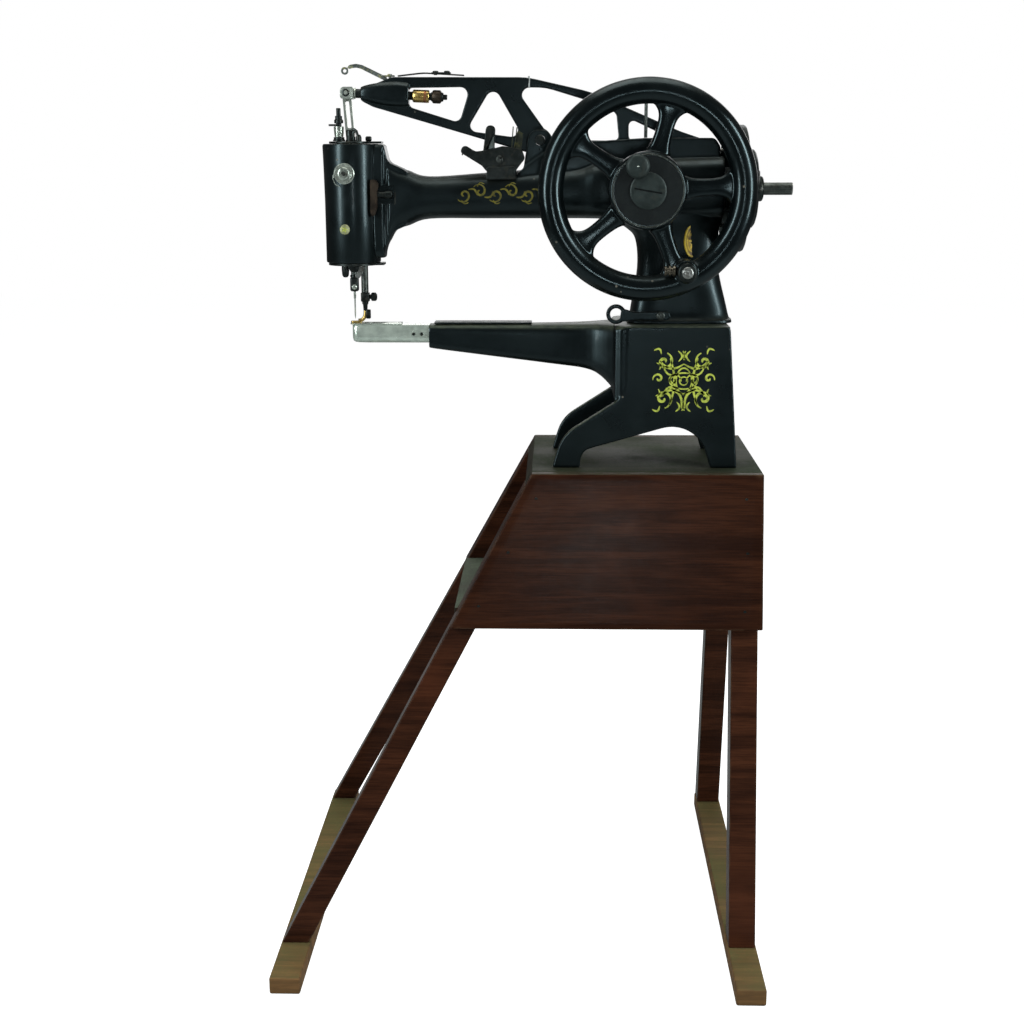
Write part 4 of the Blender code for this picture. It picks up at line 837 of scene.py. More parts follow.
def build_nails():
    """Flat nail heads where the panels meet the legs and where the legs meet the runners."""
    spots = [(RIGHT_LEG_LEFT + 16, -30), (RIGHT_LEG_LEFT + 18, -95), (RIGHT_LEG_LEFT + 15, -165), (-30, -30),
             (-64, -95), (-100, -160)]
    heads = []
    for k, (x, z) in enumerate(spots):
        for rear in (False, True):
            y = splayed(0, z)
            y = BOARD_DEPTH - y if rear else y
            out = 1 if rear else -1
            heads.append(lathe(f"nail_{k}_{rear}", "Y", (x, z), [
                (0, y - out * 2), (1.9, y - out * 2), (2.1, y + out * 0.05), (0, y + out * 0.25)], 14))
    join_plain("nail_heads", heads, ROOT, "dark_steel")


def join_plain(name, objects, body, look, *nodes, slot=None):
    """Several small solids as one piece, without a Boolean."""
    joined = merged(name, objects)
    shade(joined.data)
    return piece(joined, body, look, *nodes, slot=slot)


# --- base casting with the cylinder arm ------------------------------------------------------
ARM_SECTIONS = [
    (-166, 143.6, 171.6, 17, 5), (-160, 141.5, 171.8, 18, 5), (-85, 132, 172.3, 20.5, 5),
    (-10, 122.7, 173, 23, 5), (32, 117, 174, 28, 5), (52, 107, 175, 37, 5),
    (72, 86, 175.4, 53, 6),
]


def build_base():
    side = filleted([
        (80.5, BASE_TOP, 6), (206.5, BASE_TOP, 6), (218.8, 0.3), (186, 0.3), (167, 62, 44),
        (26, 21.5, 16), (24, 0.3), (-10.4, 0.3), (1.5, 40.7, 50), (80.5, 91.4, 31),
    ])
    front = plate("base_front", [side], BASE_FRONT, BASE_FRONT + 12)
    rear = plate("base_rear", [side], BASE_REAR - 12, BASE_REAR)
    top = plate("base_top", [filleted([
        (66, BASE_FRONT + 1, 16), (206.3, BASE_FRONT + 1, 4), (206.3, BASE_REAR - 1, 4),
        (66, BASE_REAR - 1, 16)])],
        BASE_TOP - 11, BASE_TOP - 0.2, "XY")
    end_arch = filleted([
        (BASE_FRONT + 4, BASE_TOP - 4), (BASE_REAR - 4, BASE_TOP - 4), (BASE_REAR - 4, 20),
        (BASE_REAR - 20, 20),
        (BASE_REAR - 28, 84, 30), (BASE_FRONT + 28, 84, 30), (BASE_FRONT + 20, 20), (BASE_FRONT + 4, 20),
    ])
    right_wall = plate("base_end", [end_arch], 199, 206, "YZ")
    left_wall = block("base_left", (66, BASE_FRONT + 4, 84), (75, BASE_REAR - 4, BASE_TOP - 4))
    column = [lathe(f"root_{k}", "Z", (76, y),
        [(0, 79), (7, 80), (10, 86), (10, BASE_TOP - 3), (0, BASE_TOP - 3)], 32)
              for k, y in enumerate((BASE_FRONT + 10.5, BASE_REAR - 10.5))]
    arm = loft("base_arm", "X", smooth_sections(ARM_SECTIONS))
    casting = cast("base_and_cylinder_arm", [front, rear, top, right_wall, left_wall, arm] + column, 1.25, 5)
    channel = block("channel", (-180, MID - 11.3, 149.5), (-120, MID + 11.3, 160))
    casting = cut(casting, channel)
    piece(casting, ROOT, "base_japan", "base_casting")
    cover = block("arm_cover", (-160, MID - 13, 173.1), (-37, MID + 13, 175.1), 0.7)
    piece(cover, ROOT, "japan", "arm_cover_plate")
    screws = [screw_head(f"cover_screw_{k}", "Z", (x, MID), 174.2, 1, 2.7, 0.85, 30 + 47 * k, 0.7)
              for k, x in enumerate((-152, -45))]
    join_plain("cover_screws", screws, ROOT, "steel")
    build_tip()
    build_transfer()


def build_tip():
    """The polished end of the cylinder arm: a thin shell with rounded lower edges and a chamfered rim."""
    rows = [(0.3, 153, 9), (1.2, 150.8, 11), (3.4, 149.6, 12.6), (8, 148.9, 13.5), (20, TIP_LOW, TIP_HALF)]
    sections = [(TIP_LEFT + x, low, 173.6 + 0.05 * x, half, 3.6) for x, low, half in rows]
    sections.append((TIP_RIGHT, TIP_LOW, 174.6, TIP_HALF, 3.6))
    shell = loft("tip_shell", "X", sections, 96)
    above = block("tip_above", (TIP_LEFT - 5, MID - 30, TIP_TOP), (TIP_RIGHT + 5, MID + 30, TIP_TOP + 20))
    cavity = block("tip_cavity", (TIP_LEFT + 1.9, MID - 11.3, 158), (TIP_RIGHT + 5, MID + 11.3, 168.4))
    mouth = block("tip_mouth", (TIP_LEFT + 1.6, MID - 10.5, 160), (-206, MID + 10.5, 180))
    well = block("needle_well", (TIP_LEFT + 1.9, MID - 5, 155), (-240, MID + 5, 160))
    shell = cut(shell, above, cavity, mouth, well)
    rounded(shell, 0.7, 2, 50)
    piece(shell, ROOT, "tip_nickel", "arm_tip_shell")
    needle_plate = plate("throat_plate", [
        filleted([(PLATE_LEFT, MID - 12, 9), (-241, MID - 12), (-241, MID + 12), (PLATE_LEFT, MID + 12, 9)]),
        ring(HEAD_X, MID, 1.7, 20)], TIP_TOP + 0.3, TIP_TOP + 1.6, "XY", 0.3)
    piece(needle_plate, ROOT, "tip_nickel", "needle_plate")
    heads = [screw_head(f"plate_screw_{k}", "Z", (-246, MID + s * 8.3), TIP_TOP + 1, 1, 1.7, 0.7, 40, 0.5)
             for k, s in enumerate((-1, 1))]
    heads += [screw_head(f"tip_screw_{k}", "Y", (x, 160.5), MID - TIP_HALF + 0.1, -1, 2, 0.9,
        20 + 70 * k, 0.6)
              for k, x in enumerate((-186, -176))]
    join_plain("tip_screws", heads, ROOT, "dark_steel")
    slide = block("bobbin_slide", (-240.6, MID - 12, TIP_TOP + 0.3), (-202, MID + 12, TIP_TOP + 1.6), 0.4)
    grip = block("slide_grip", (-206, MID - 6, TIP_TOP + 1), (-204.6, MID + 6, TIP_TOP + 2), 0.3)
    join_plain("slide_plate_visual", [slide, grip], "slide_plate", "tip_nickel", "slide_plate")


def ribbon(points, width, lift=0.12, taper=True):
    """A thin raised band through points (x, z) or (x, y, z); its ends thin out."""
    bm = bmesh.new()
    count = len(points)
    rows = []
    for i, spot in enumerate(points):
        here = Vector(spot)
        ahead = Vector(points[min(i + 1, count - 1)]) - Vector(points[max(i - 1, 0)])
        side = ahead.cross(Vector((0, 1, 0))).normalized()
        share = i / (count - 1)
        half = width / 2 * (0.35 + 0.65 * math.sin(math.pi * share) ** 0.6 if taper else 1)
        front = Vector((0, -lift, 0))
        back = Vector((0, 0.5, 0))
        rows.append([bm.verts.new(here + side * half + back), bm.verts.new(here + side * half * 0.8 + front),
                     bm.verts.new(here - side * half * 0.8 + front), bm.verts.new(here - side * half + back)])
    for first, second in zip(rows, rows[1:]):
        for k in range(4):
            bm.faces.new((first[k], first[(k + 1) % 4], second[(k + 1) % 4], second[k]))
    bm.faces.new(rows[0][::-1])
    bm.faces.new(rows[-1])
    return bm


def scroll(x, z, size, start, turns, hand, steps=34):
    """Points (x, z) of a spiral that opens out from its eye."""
    out = []
    for k in range(steps + 1):
        share = k / steps
        turn = math.radians(start) + hand * math.tau * turns * share
        reach = size * (0.12 + 0.88 * share ** 1.25)
        out.append(polar((x, z), reach, turn))
    return out


def leaf(x, z, length, turn, bend=0.25, steps=12):
    """Points of one curved stroke that starts at (x, z)."""
    out = []
    for k in range(steps + 1):
        share = k / steps
        along = length * share
        across = bend * length * math.sin(math.pi * share)
        c, s = math.cos(math.radians(turn)), math.sin(math.radians(turn))
        out.append((x + along * c - across * s, z + along * s + across * c))
    return out


def build_transfer():
    """A gilt arabesque on the base's front: scrolls and leaves mirrored left and right, no letters."""
    centre_x, centre_z = 150.6, 109.4
    strokes = []
    for hand in (1, -1):
        def at(points):
            return [(centre_x + hand * x, centre_z + z) for x, z in points]
        strokes += [
            (at(scroll(24, 24, 11, 215, 1.3, -1)), 4.2), (at(scroll(25, -22, 12, 150, 1.3, 1)), 4.4),
            (at(scroll(31, 3, 7, 20, 1.1, -1)), 3.4), (at(scroll(12, 1, 9, 120, 1.2, 1)), 3.2),
            (at(leaf(17, -30, 58, 90, 0.10)), 3.6), (at(leaf(2, -34, 30, 58, 0.22)), 3.6),
            (at(leaf(0, 21, 30, 8, -0.26)), 3.4), (at(leaf(0, -17, 30, -8, 0.26)), 3.4),
            (at(leaf(6, 9, 22, 28, -0.3)), 2.8), (at(leaf(6, -9, 22, -28, 0.3)), 2.8),
            (at(leaf(28, 33, 10, 28, 0.45)), 3), (at(leaf(29, -31, 10, -26, -0.45)), 3),
            (at(leaf(30, 14, 9, 66, 0.40)), 2.6), (at(leaf(31, -10, 9, -70, -0.40)), 2.6),
            (at(leaf(7, 24, 13, 88, 0.35)), 2.8), (at(leaf(8, -26, 12, -84, -0.35)), 2.8),
            (at(leaf(0.6, 26, 11, 84, 0.15)), 2.6), (at(leaf(0.6, -26, 11, -84, -0.15)), 2.6),
        ]
    for wide, tall, width in ((17, 10, 2.6), (9.5, 16, 2.6), (5, 5, 2)):
        turns = [math.tau * k / 40 for k in range(41)]
        strokes.append(([(centre_x + wide * math.cos(t), centre_z + tall * math.sin(t))
            for t in turns], width))
    bands = [object_from("stroke", ribbon([(x, BASE_FRONT + 0.02, z) for x, z in points], width))
             for points, width in strokes]
    join_plain("base_ornament", bands, ROOT, "gilt")


# --- upper casting ---------------------------------------------------------------------------
UPPER_ARM = [
    (-214, 276, 371, 22, 4), (-205, 290, 366, 23, 3), (-190, 295, 362, 24, 2.6),
    (-164, 303, 354.8, 25, 2.3), (-94, 303.3, 359, 27, 2.2), (-40, 303.3, 363, 30, 2.3),
    (20, 303.3, 368, 33, 2.4), (60, 303, 374, 38, 3.2), (188, 303, 378, 38, 3.6),
    (193, 306, 375, 35, 3.6),
]


def build_arm():
    arm = loft("arm", "X", smooth_sections(UPPER_ARM, 5), 96)
    flange = loft("flange", "X", [(-233, 255, 393.7, 20, 8), (-220.5, 255.5, 393.7, 21, 8)], 64)
    neck_outline = filleted([
        (-222, 256), (-218, 270, 12), (-209, 288, 12), (-190, 296, 14), (-190, 360),
        (-196, 364, 12), (-214, 372, 10), (-219, 393.5, 3), (-224, 393.5)])
    neck = plate("neck", [neck_outline], MID - 17, MID + 17)
    rib = plate("rib", [filleted([
        (-62, 350), (-46, 366, 14), (-20, 384, 20), (34, 396, 60), (100, 400),
        (186, 400, 8), (193, 390, 6), (192.6, 340)])], MID - 22, MID + 22)
    column = loft("column", "Z", smooth_sections([
        (179, 84.5, 211.5, 40, 5), (184, 86.5, 209.3, 36, 4.4), (196, 88, 206.4, 33.4, 4),
        (243, 95, 195.5, 30, 3),
        (278, 92, 195, 31, 3), (292, 80, 195.5, 32, 3), (303.5, 62, 199, 33, 3),
        (330, 60, 192, 33, 3)], 5), 96)
    foot = loft("column_foot", "Z", [
        (BASE_TOP + 0.3, 82, 213, 42, 5), (180.6, 82.6, 212.4, 41.4, 5)], 64)
    ear = filleted([(PIVOT_X - 22, 352), (PIVOT_X - 13, PIVOT_Z + 12, 12), (PIVOT_X + 13, PIVOT_Z + 12, 12),
                    (PIVOT_X + 24, 352)])
    ears = [plate("ear_front", [ear], MID - 20, MID - 8), plate("ear_rear", [ear], MID + 8, MID + 20)]
    boss = lathe("wheel_boss", "Y", (WHEEL_X, SHAFT_Z),
        [(0, 46), (24, 46), (26, 50), (27, 70), (30, 82), (0, 82)])
    end_boss = lathe("shaft_boss", "X", (MID, SHAFT_Z), [(0, 197), (19, 197), (20, 195), (21, 186), (0, 186)])
    casting = cast("upper_arm_and_column", [arm, flange, neck, rib, column, foot, boss,
        end_boss] + ears, 1.2, 5)
    tools = [
        lathe("seat", "Z", (HEAD_X, MID), [
            (0, 412), (HEAD_R + 1.8, 412), (HEAD_R + 1.8, 392), (HEAD_R + 0.5, 324), (HEAD_R + 0.5, 238),
            (0, 238)], 128),
        block("trough", (-52, MID - 8, 369), (210, MID + 8, 420)),
        block("tail_slot", (156, MID - 8, 362), (210, MID + 8, 420)),
        block("gear_room", (76, 78, 313), (184, 152, 367)),
        block("lever_room", (118, MID - 9, 150), (188, MID + 9, 330)),
        block("follower_slot", (180, MID - 9, 276), (210, MID + 9, 308)),
        rod("wheel_bore", "Y", (WHEEL_X, SHAFT_Z), 15.3, 90, 40, 48),
        rod("shaft_bore", "X", (MID, SHAFT_Z), 13.3, 205, 180, 48),
        rod("pivot_bore", "Y", (PIVOT_X, PIVOT_Z), 6.3, 140, 80, 32),
        block("feed_window", (-238, 70, 322), (-206, 91, 344)),
    ]
    casting = cut(casting, *tools)
    piece(casting, ROOT, "japan", "arm_casting")
    cover = block("rear_cover", (70, 146.3, 309), (189, 149, 371), 1.4, 3)
    heads = [screw_head(f"rear_screw_{k}", "Y", (x, z), 148.6, 1, 3.4, 1.6, 35 * k, 0.9)
             for k, (x, z) in enumerate(((78, 317), (181, 317), (78, 363), (181, 363)))]
    piece(cover, ROOT, "japan", "rear_cover_plate")
    join_plain("rear_cover_screws", heads, ROOT, "steel")
    build_arm_fittings()
    build_arm_ornament()


def build_arm_fittings():
    pin = lathe("pivot_pin", "Y", (PIVOT_X, PIVOT_Z), [
        (0, MID + 23), (5.2, MID + 23), (6, MID + 22.2), (6, MID - 22.2), (5.2, MID - 23), (0, MID - 23)], 40)
    pin = cut(pin, block("pin_slot", (PIVOT_X - 8, MID - 26, PIVOT_Z - 0.6),
        (PIVOT_X + 8, MID - 21.6, PIVOT_Z + 0.6)))
    piece(pin, ROOT, "dark_steel", "beam_pivot_pin", slot="bright_steel")
    bearing = lathe("wheel_bush", "Y", (WHEEL_X, SHAFT_Z),
        [(15, 77.7), (15, 46), (14.2, 45), (9.3, 45), (9.3, 77.7)])
    piece(bearing, ROOT, "gun_steel", "wheel_bearing")
    bearing = lathe("shaft_bush", "X", (MID, SHAFT_Z), [(13, 199), (13, 184.3), (8, 184.3), (8, 199)])
    piece(bearing, ROOT, "gun_steel", "shaft_bearing")
    spool = lathe("spool_rod", "Z", (102, MID - 16), [
        (0, 400.3), (2.1, 400.3), (2.1, 460.5), (1.6, 461.6), (0, 462)], 24)
    piece(spool, ROOT, "gun_steel", "spool_pin")
    build_bracket()
    build_lift_lever()


def build_bracket():
    """The dark thread bracket on the arm, with its finger, upright tab and small guide springs."""
    y0, y1 = MID - 24, MID - 12
    body = plate("bracket_body", [filleted([
        (-93, 361.5), (-98, 367.5, 4), (-124.5, 383.5, 4), (-120.5, 393.5, 5), (-106, 384.5, 8),
        (-92, 386, 6), (-72, 391, 6), (-49, 387, 5), (-45, 376, 5), (-53, 366, 4),
        (-57, 360.5)])], y0, y1)
    tab = plate("bracket_tab", [filleted([(-97.5, 376), (-92.5, 415.5, 5.5), (-81, 415.5, 5.5), (-83, 376)])],
                MID - 21, MID - 16)
    saddle = plate("bracket_saddle", [filleted([(-92, 351), (-56, 351), (-56, 366, 3), (-92, 366,
        3)])], MID - 27.5, y1)
    lug = rod("bracket_lug", "Y", (-76, 375), 7.5, y0 + 1, y1 - 1, 32)
    bracket = cast("thread_bracket_casting", [body, tab, lug, saddle], 0.6, 4)
    piece(bracket, ROOT, "dark_steel", "thread_bracket")
    wires = [
        tube("wire_a", [(-66, MID - 18, 380), (-62.5, MID - 18, 385), (-61, MID - 18, 392),
            (-60.2, MID - 18, 405),
                        (-59.5, MID - 18, 414)], 0.7),
        tube("wire_b", [(-66, MID - 16, 378), (-60.5, MID - 16, 384), (-57.5, MID - 16, 392),
            (-56, MID - 16, 404),
                        (-55, MID - 16, 413)], 0.7),
        plate("spring_leaf", [filleted([(-67, 372), (-58, 380, 4), (-54.5, 410, 2),
            (-47.5, 406, 3), (-50, 384, 5),
                                        (-60, 370)])], MID - 15, MID - 13.8),
        tube("drip", [(-121.5, MID - 18, 386), (-122, MID - 18, 380)], 0.8),
    ]
    join_plain("bracket_springs", wires, ROOT, "spring_steel")
    head = screw_head("bracket_screw", "Y", (-76, 375), y0 + 1, -1, 4.6, 2.6, 28, 1.1)
    piece(head, ROOT, "gun_steel")


def build_lift_lever():
    low, high = 57, 64
    arm = plate("lever_arm", [filleted([
        (72, 179.5, 4), (74, 196.5, 5), (90, 191.6, 8), (134, 192, 6), (134, 181.5, 5),
        (94, 182.2, 8)])], low, high)
    eye = lathe("lever_eye", "Y", EYE, [
        (11.4, low + 0.6), (12.2, low + 2.2), (12.2, high - 2.2), (11.4, high - 0.6),
        (8.2, high - 0.6), (7.2, high - 2.2), (7.2, low + 2.2), (8.2, low + 0.6)], 48)
    lever = cast("foot_lift_lever", [arm, eye], 0.6, 4)
    hole = rod("pivot_hole", "Y", LIFT, 3, 70, 50, 24)
    lever = cut(lever, hole)
    piece(lever, "lift_lever", "japan", "lift_lever")
    stud = screw_head("lift_stud", "Y", LIFT, 56.4, -1, 5.2, 2.4, 50, 1.2)
    shank = rod("lift_shank", "Y", LIFT, 2.7, 65.5, 55.6, 24)
    join_plain("lift_screw", [stud, shank], ROOT, "gun_steel", "lift_lever_screw")


def arm_front(x, z):
    """How far forward the upper arm's surface lies at (x, z)."""
    rows = smooth_sections(UPPER_ARM, 5)
    for first, second in zip(rows, rows[1:]):
        if first[0] <= x <= second[0]:
            t = (x - first[0]) / (second[0] - first[0])
            low, high, half, square = (a + (b - a) * t for a, b in zip(first[1:], second[1:]))
            share = min(abs(z - (low + high) / 2) / ((high - low) / 2), 0.99)
            return MID - half * (1 - share ** square) ** (1 / square)
    return MID


def build_arm_ornament():
    """A gilt running scroll along the arm, where such machines carry a line of decoration."""
    strokes = []
    for k in range(5):
        x = -120 + 19.5 * k
        flip = 1 if k % 2 else -1
        z = 334.5
        strokes.append((scroll(x, z + flip * 2, 9.4, 90 * flip, 1.15, flip), 3.2))
        strokes.append((leaf(x + 5.5, z - flip * 4.5, 13, flip * 32, -0.28 * flip), 3))
        strokes.append((leaf(x - 3, z + flip * 8, 9, flip * 20, 0.3 * flip), 2.2))
    bands = []
    for points, width in strokes:
        spots = [(x, arm_front(x, z) + 0.25, z) for x, z in points]
        bands.append(object_from("stroke", ribbon(spots, width, 0.35)))
    join_plain("arm_ornament", bands, ROOT, "dim_gilt")
    build_column_badge()


def build_column_badge():
    """An oval gilt plate on the column, with a plain beaded rim and a rosette."""
    x, z, wide, tall = 161.5, 277, 12, 19
    turn = rotation(30, "Z")
    spot = Vector((x, MID - 28.6, z))
    oval = [Vector((wide * math.cos(math.tau * k / 48), tall * math.sin(math.tau * k / 48)))
        for k in range(48)]
    field = plate("badge_field", [oval], -0.5, 1.2)
    about = place((0, 0, 0))
    field.data.transform(Matrix.Translation(about + spot * MM) @ turn @ Matrix.Translation(-about))
    piece(field, ROOT, "badge_field")
    pieces = []
    for scale, depth, width in ((1, 0.9, 2.6), (0.72, 0.7, 1.4)):
        loop = [(wide * scale * math.cos(t / 8), 0, tall * scale * math.sin(t / 8)) for t in range(51)]
        bm = ribbon(loop, width, depth, False)
        bm.transform(Matrix.Translation(spot) @ turn)
        pieces.append(object_from("badge_ring", bm))
    for k in range(6):
        t = math.tau * k / 6
        points = [(s * wide * 0.6 * math.cos(t), 0, s * tall * 0.6 * math.sin(t)) for s in (0.1, 0.4, 0.7, 1)]
        bm = ribbon(points, 3, 0.8)
        bm.transform(Matrix.Translation(spot) @ turn)
        pieces.append(object_from("badge_leaf", bm))
    join_plain("column_badge", pieces, ROOT, "badge_gilt")


# --- hand wheel and main shaft ---------------------------------------------------------------
def spoke(name, angle):
    """An oval spoke that flares into the rim."""
    rows = [(26, 17, 8.5), (44, 15, 8), (52, 12.2, 7.6), (64, 10.6, 7.2), (80, 10.4, 6.8), (89, 12.4, 6.8),
            (95, 17, 7), (101, 25, 7.4), (110, 31, 7.4)]
    rows = smooth_sections(rows, 3)
    aim = Matrix.Translation((WHEEL_X, WHEEL_Y + 1, SHAFT_Z)) @ Matrix.Rotation(math.pi / 2 - angle, 4, "Y")
    circle = squared_circle(32, 0.7)
    return skin(name, [[aim @ Vector((wide * c, deep * s, along)) for c, s in circle] for along,
        wide, deep in rows])


def build_wheel():
    centre = (WHEEL_X, SHAFT_Z)
    rim = lathe("rim", "Y", centre, [
        (RIM_R + (RIM_TUBE + 0.35) * math.sin(math.tau * k / 32),
            WHEEL_Y + RIM_TUBE * math.cos(math.tau * k / 32))
        for k in range(32)], 160)
    hub = lathe("hub", "Y", centre, [(radius, WHEEL_Y + along) for radius, along in (
        (9.3, -5.4), (9.3, 29), (22, 29), (22, 22), (34, 14), (40, -1), (46, -4),
        (45, -12), (43.4, -14.3), (13, -14.3), (11, -5.4))], 96)
    boss = lathe("crank_boss", "Y", CRANK, [
        (0, WHEEL_FRONT + 17), (14.5, WHEEL_FRONT + 17), (13.8, WHEEL_FRONT + 4), (13, WHEEL_FRONT - 2.9),
        (0, WHEEL_FRONT - 2.9)], 64)
    spokes = [spoke(f"spoke_{k}", math.radians(angle)) for k, angle in enumerate(SPOKES)]
    wheel = cast("wheel_casting", [rim, hub, boss] + spokes, 1.2, 5)
    holes = [
        rod("knob_hole", "Y", KNOB, 5.3, 20, -12, 32),
        rod("crank_hole", "Y", CRANK, 5, 10, -12, 32),
    ]
    wheel = cut(wheel, *holes)
    piece(wheel, "hand_wheel", "wheel_japan", "hand_wheel")
    build_hub_fittings(centre)
    build_crank()


def build_hub_fittings(centre):
    """The turned face of the hub with its bright edge, the big slotted screw and the stop knob."""
    ring_edge = lathe("hub_ring", "Y", centre, [
        (42.8, WHEEL_FRONT + 2), (42.8, WHEEL_FRONT + 0.3), (42.2, WHEEL_FRONT - 0.3),
        (41.2, WHEEL_FRONT - 0.3),
        (40.6, WHEEL_FRONT + 0.3), (40.6, WHEEL_FRONT + 2)], 128)
    piece(ring_edge, "hand_wheel", "gun_steel", slot="dark_steel")
    face = lathe("hub_face", "Y", centre, [
        (0, WHEEL_FRONT + 1.8), (39.8, WHEEL_FRONT + 1.8), (40, WHEEL_FRONT + 0.2), (22.4, WHEEL_FRONT - 0.1),
        (0, WHEEL_FRONT - 0.1)], 96)
    hole = rod("face_hole", "Y", KNOB, 9.8, 20, -12, 40)
    face = cut(face, hole)
    piece(face, "hand_wheel", "hub_black")
    front = WHEEL_FRONT
    profile = [(0, front + 9.9), (8.5, front + 9.9), (8.5, front - 0.3), (21.5, front - 0.3),
        (21.5, front - 1.6),
               (20.6, front - 2.4)] + dome(19.6, front - 2.6, -1, 4)
    screw = lathe("hub_screw_visual", "Y", centre, profile, 72)
    slot = block("slot", (WHEEL_X - 16.5, front - 9, SHAFT_Z - 1), (WHEEL_X + 16.5, front + 2.5, SHAFT_Z + 1))
    turned_about(slot, (WHEEL_X, 0, SHAFT_Z), rotation(10, "Y"))
    piece(cut(screw, slot), "hand_wheel", "wheel_steel", "hub_screw")
    knob = lathe("stop_knob_visual", "Y", KNOB, [
        (0, front + 13), (5, front + 13), (5, front - 0.3), (9.5, front - 0.3), (9.5, front - 4),
        (12.6, front - 4.6), (14, front - 6.2), (14, front - 11.6), (13.3, front - 12.6)]
        + dome(12.6, front - 13, -2.4, 6), 72)
    piece(knob, "stop_knob", "wheel_steel", "stop_knob")
    dimple = lathe("knob_dimple", "Y", KNOB, [
        (0, front - 14.6), (1, front - 14.6), (1, front - 15.55), (0.5, front - 15.6), (0, front - 15.6)], 20)
    piece(dimple, "stop_knob", "nickel", slot="dark_steel")


def build_crank():
    rear = WHEEL_FRONT - 3.3
    front = rear - 17
    sleeve = lathe("crank_sleeve_visual", "Y", CRANK, [
        (9.6, rear), (10.4, rear - 0.8), (10.8, rear - 3), (10.2, rear - 4.6), (10.2, rear - 7),
        (11.4, rear - 8.6), (11.4, front + 1.6), (10.4, front + 0.4), (9.2, front), (4.2, front),
        (4.2, rear)], 64)
    piece(sleeve, "crank_sleeve", "dark_steel", "crank_sleeve", slot="brown_steel")
    shank = lathe("crank_shank", "Y", CRANK,
        [(0, rear + 13.5), (3.9, rear + 13.5), (3.9, front - 0.2), (0, front - 0.2)], 32)
    head = screw_head("crank_head", "Y", CRANK, front - 0.4, -1, 6.8, 3.4, 38, 2)
    join_plain("crank_screw_visual", [shank, head], "hand_wheel", "steel", "crank_screw")
    x, z = CRANK
    stack = lathe("crank_collars", "X", (WHEEL_FRONT - 1, z + 1), [
        (0, x - 12.6), (5.6, x - 12.6), (6.4, x - 13.4), (6.4, x - 15.8), (4.6, x - 16.6), (4.6, x - 18),
        (6.2, x - 18.8), (6.2, x - 20.8), (4.4, x - 21.6), (4.4, x - 22.8), (5.8, x - 23.6), (5.8, x - 25.6),
        (0, x - 26.2)], 36)
    piece(stack, "hand_wheel", "bronze_steel")


def build_shaft():
    centre = (MID, SHAFT_Z)
    shaft = lathe("shaft_bar", "X", centre, [
        (0, SHAFT_END), (6.2, SHAFT_END), (SHAFT_R, SHAFT_END - 1.4), (SHAFT_R, 186), (0, 186)], 48)
    piece(shaft, "main_shaft", "gun_steel")
    bore = SHAFT_R + 0.3
    disc = lathe("cam_disc_casting", "X", centre, [
        (bore, 241.3), (16, 241.3), (17.2, 240.2), (39, 239.3), (44, 237.8), (47.2, 235.6), (47.8, 233),
        (47.8, 229.4), (49, 228.5), (57.6, 228.5), (59.2, 227.8), (60.2, 226.2), (73, 225), (75.6, 224),
        (76.8, 221.8), (76.8, 203.2), (75.9, 201.4), (74.6, 201.1), (72.7, 201.1), (72.7, 213.9),
        (26, 213.9), (26, 201.6), (25.2, 201.1), (bore, 201.1)], 128)
    piece(disc, "main_shaft", "japan", "cam_disc")
    ribs = []
    for k in range(7):
        turn = math.tau * k / 7
        rib = block("disc_rib", (225, MID + 49.5, SHAFT_Z - 2.6), (228.2, MID + 58.5, SHAFT_Z + 2.6), 0.7)
        ribs.append(turned_about(rib, (0, MID, SHAFT_Z), Matrix.Rotation(turn, 4, "X")))
    heads = []
    for k in range(3):
        turn = math.tau * k / 3 + 0.4
        spot = polar((MID, SHAFT_Z), 30, turn)
        heads.append(screw_head(f"disc_screw_{k}", "X", spot, 239, 1, 4.2, 2.2, 40 * k, 1))
    join_plain("disc_screws", heads, "main_shaft", "dark_steel")
    join_plain("disc_ribs", ribs, "main_shaft", "japan")
    collar = lathe("collar_ring", "X", centre, [
        (bore, 248.4), (12.6, 248.4), (14.6, 247.4), (15.4, 245.8), (15.4, 242.6), (14.6, 241.9),
        (bore, 241.9)], 64)
    piece(collar, "main_shaft", "dark_steel", "shaft_collar")
    set_screw = screw_head("collar_set_screw", "Y", (245, SHAFT_Z), MID - 15, -1, 1.8, 0.4, 30, 0.6)
    piece(set_screw, "main_shaft", "steel")


# --- walking beam ----------------------------------------------------------------------------
BEAM_EDGE = [
    (-246, 461, 3), (-236, 463, 8), (-208, 473.4, 14), (-43, 472.6, 90), (34.5, 455.2, 120),
    (145, 408, 60), (190, 393), (194, 391, 2), (194, 380, 2), (180, 380), (100, 388.5, 60),
    (-8, 388, 8), (-22, 383, 8), (-44, 383.5, 10), (-158.4, 416.8), (-232, 438, 10),
    (-246, 445, 3),
]
BEAM_WINDOWS = [
    [(-187.5, 460.6, 3), (-112.5, 461.4, 9), (-126, 419, 8), (-187.5, 438, 6)],
    [(-84.5, 464, 9), (-47, 400, 8), (-118, 409.6, 8)],
    [(-58, 461, 9), (-20, 460.2, 60), (34, 444, 60), (66.5, 430, 7), (70, 397.5, 5),
     (-12, 397.5, 8), (-24, 414.5, 10)],
    [(81.5, 424, 6), (116, 408, 5), (116, 398.5, 4), (82, 397.5, 5)],
]


def rod_part(name, radius, start, end, profile=None, steps=48):
    """A turned piece on the axis of the beam's nose, which dips slightly towards the wheel."""
    profile = profile or [(0, end), (radius, end), (radius, start), (0, start)]
    rows = [(r, along - ROD_X) for r, along in profile]
    obj = lathe(name, "X", (0, 0), rows, steps)
    tilt = Matrix.Translation(place((ROD_X, MID, ROD_Z))) @ rotation(ROD_TILT, "Y")
    obj.data.transform(tilt @ Matrix.Translation(-ORIGIN))
    return obj


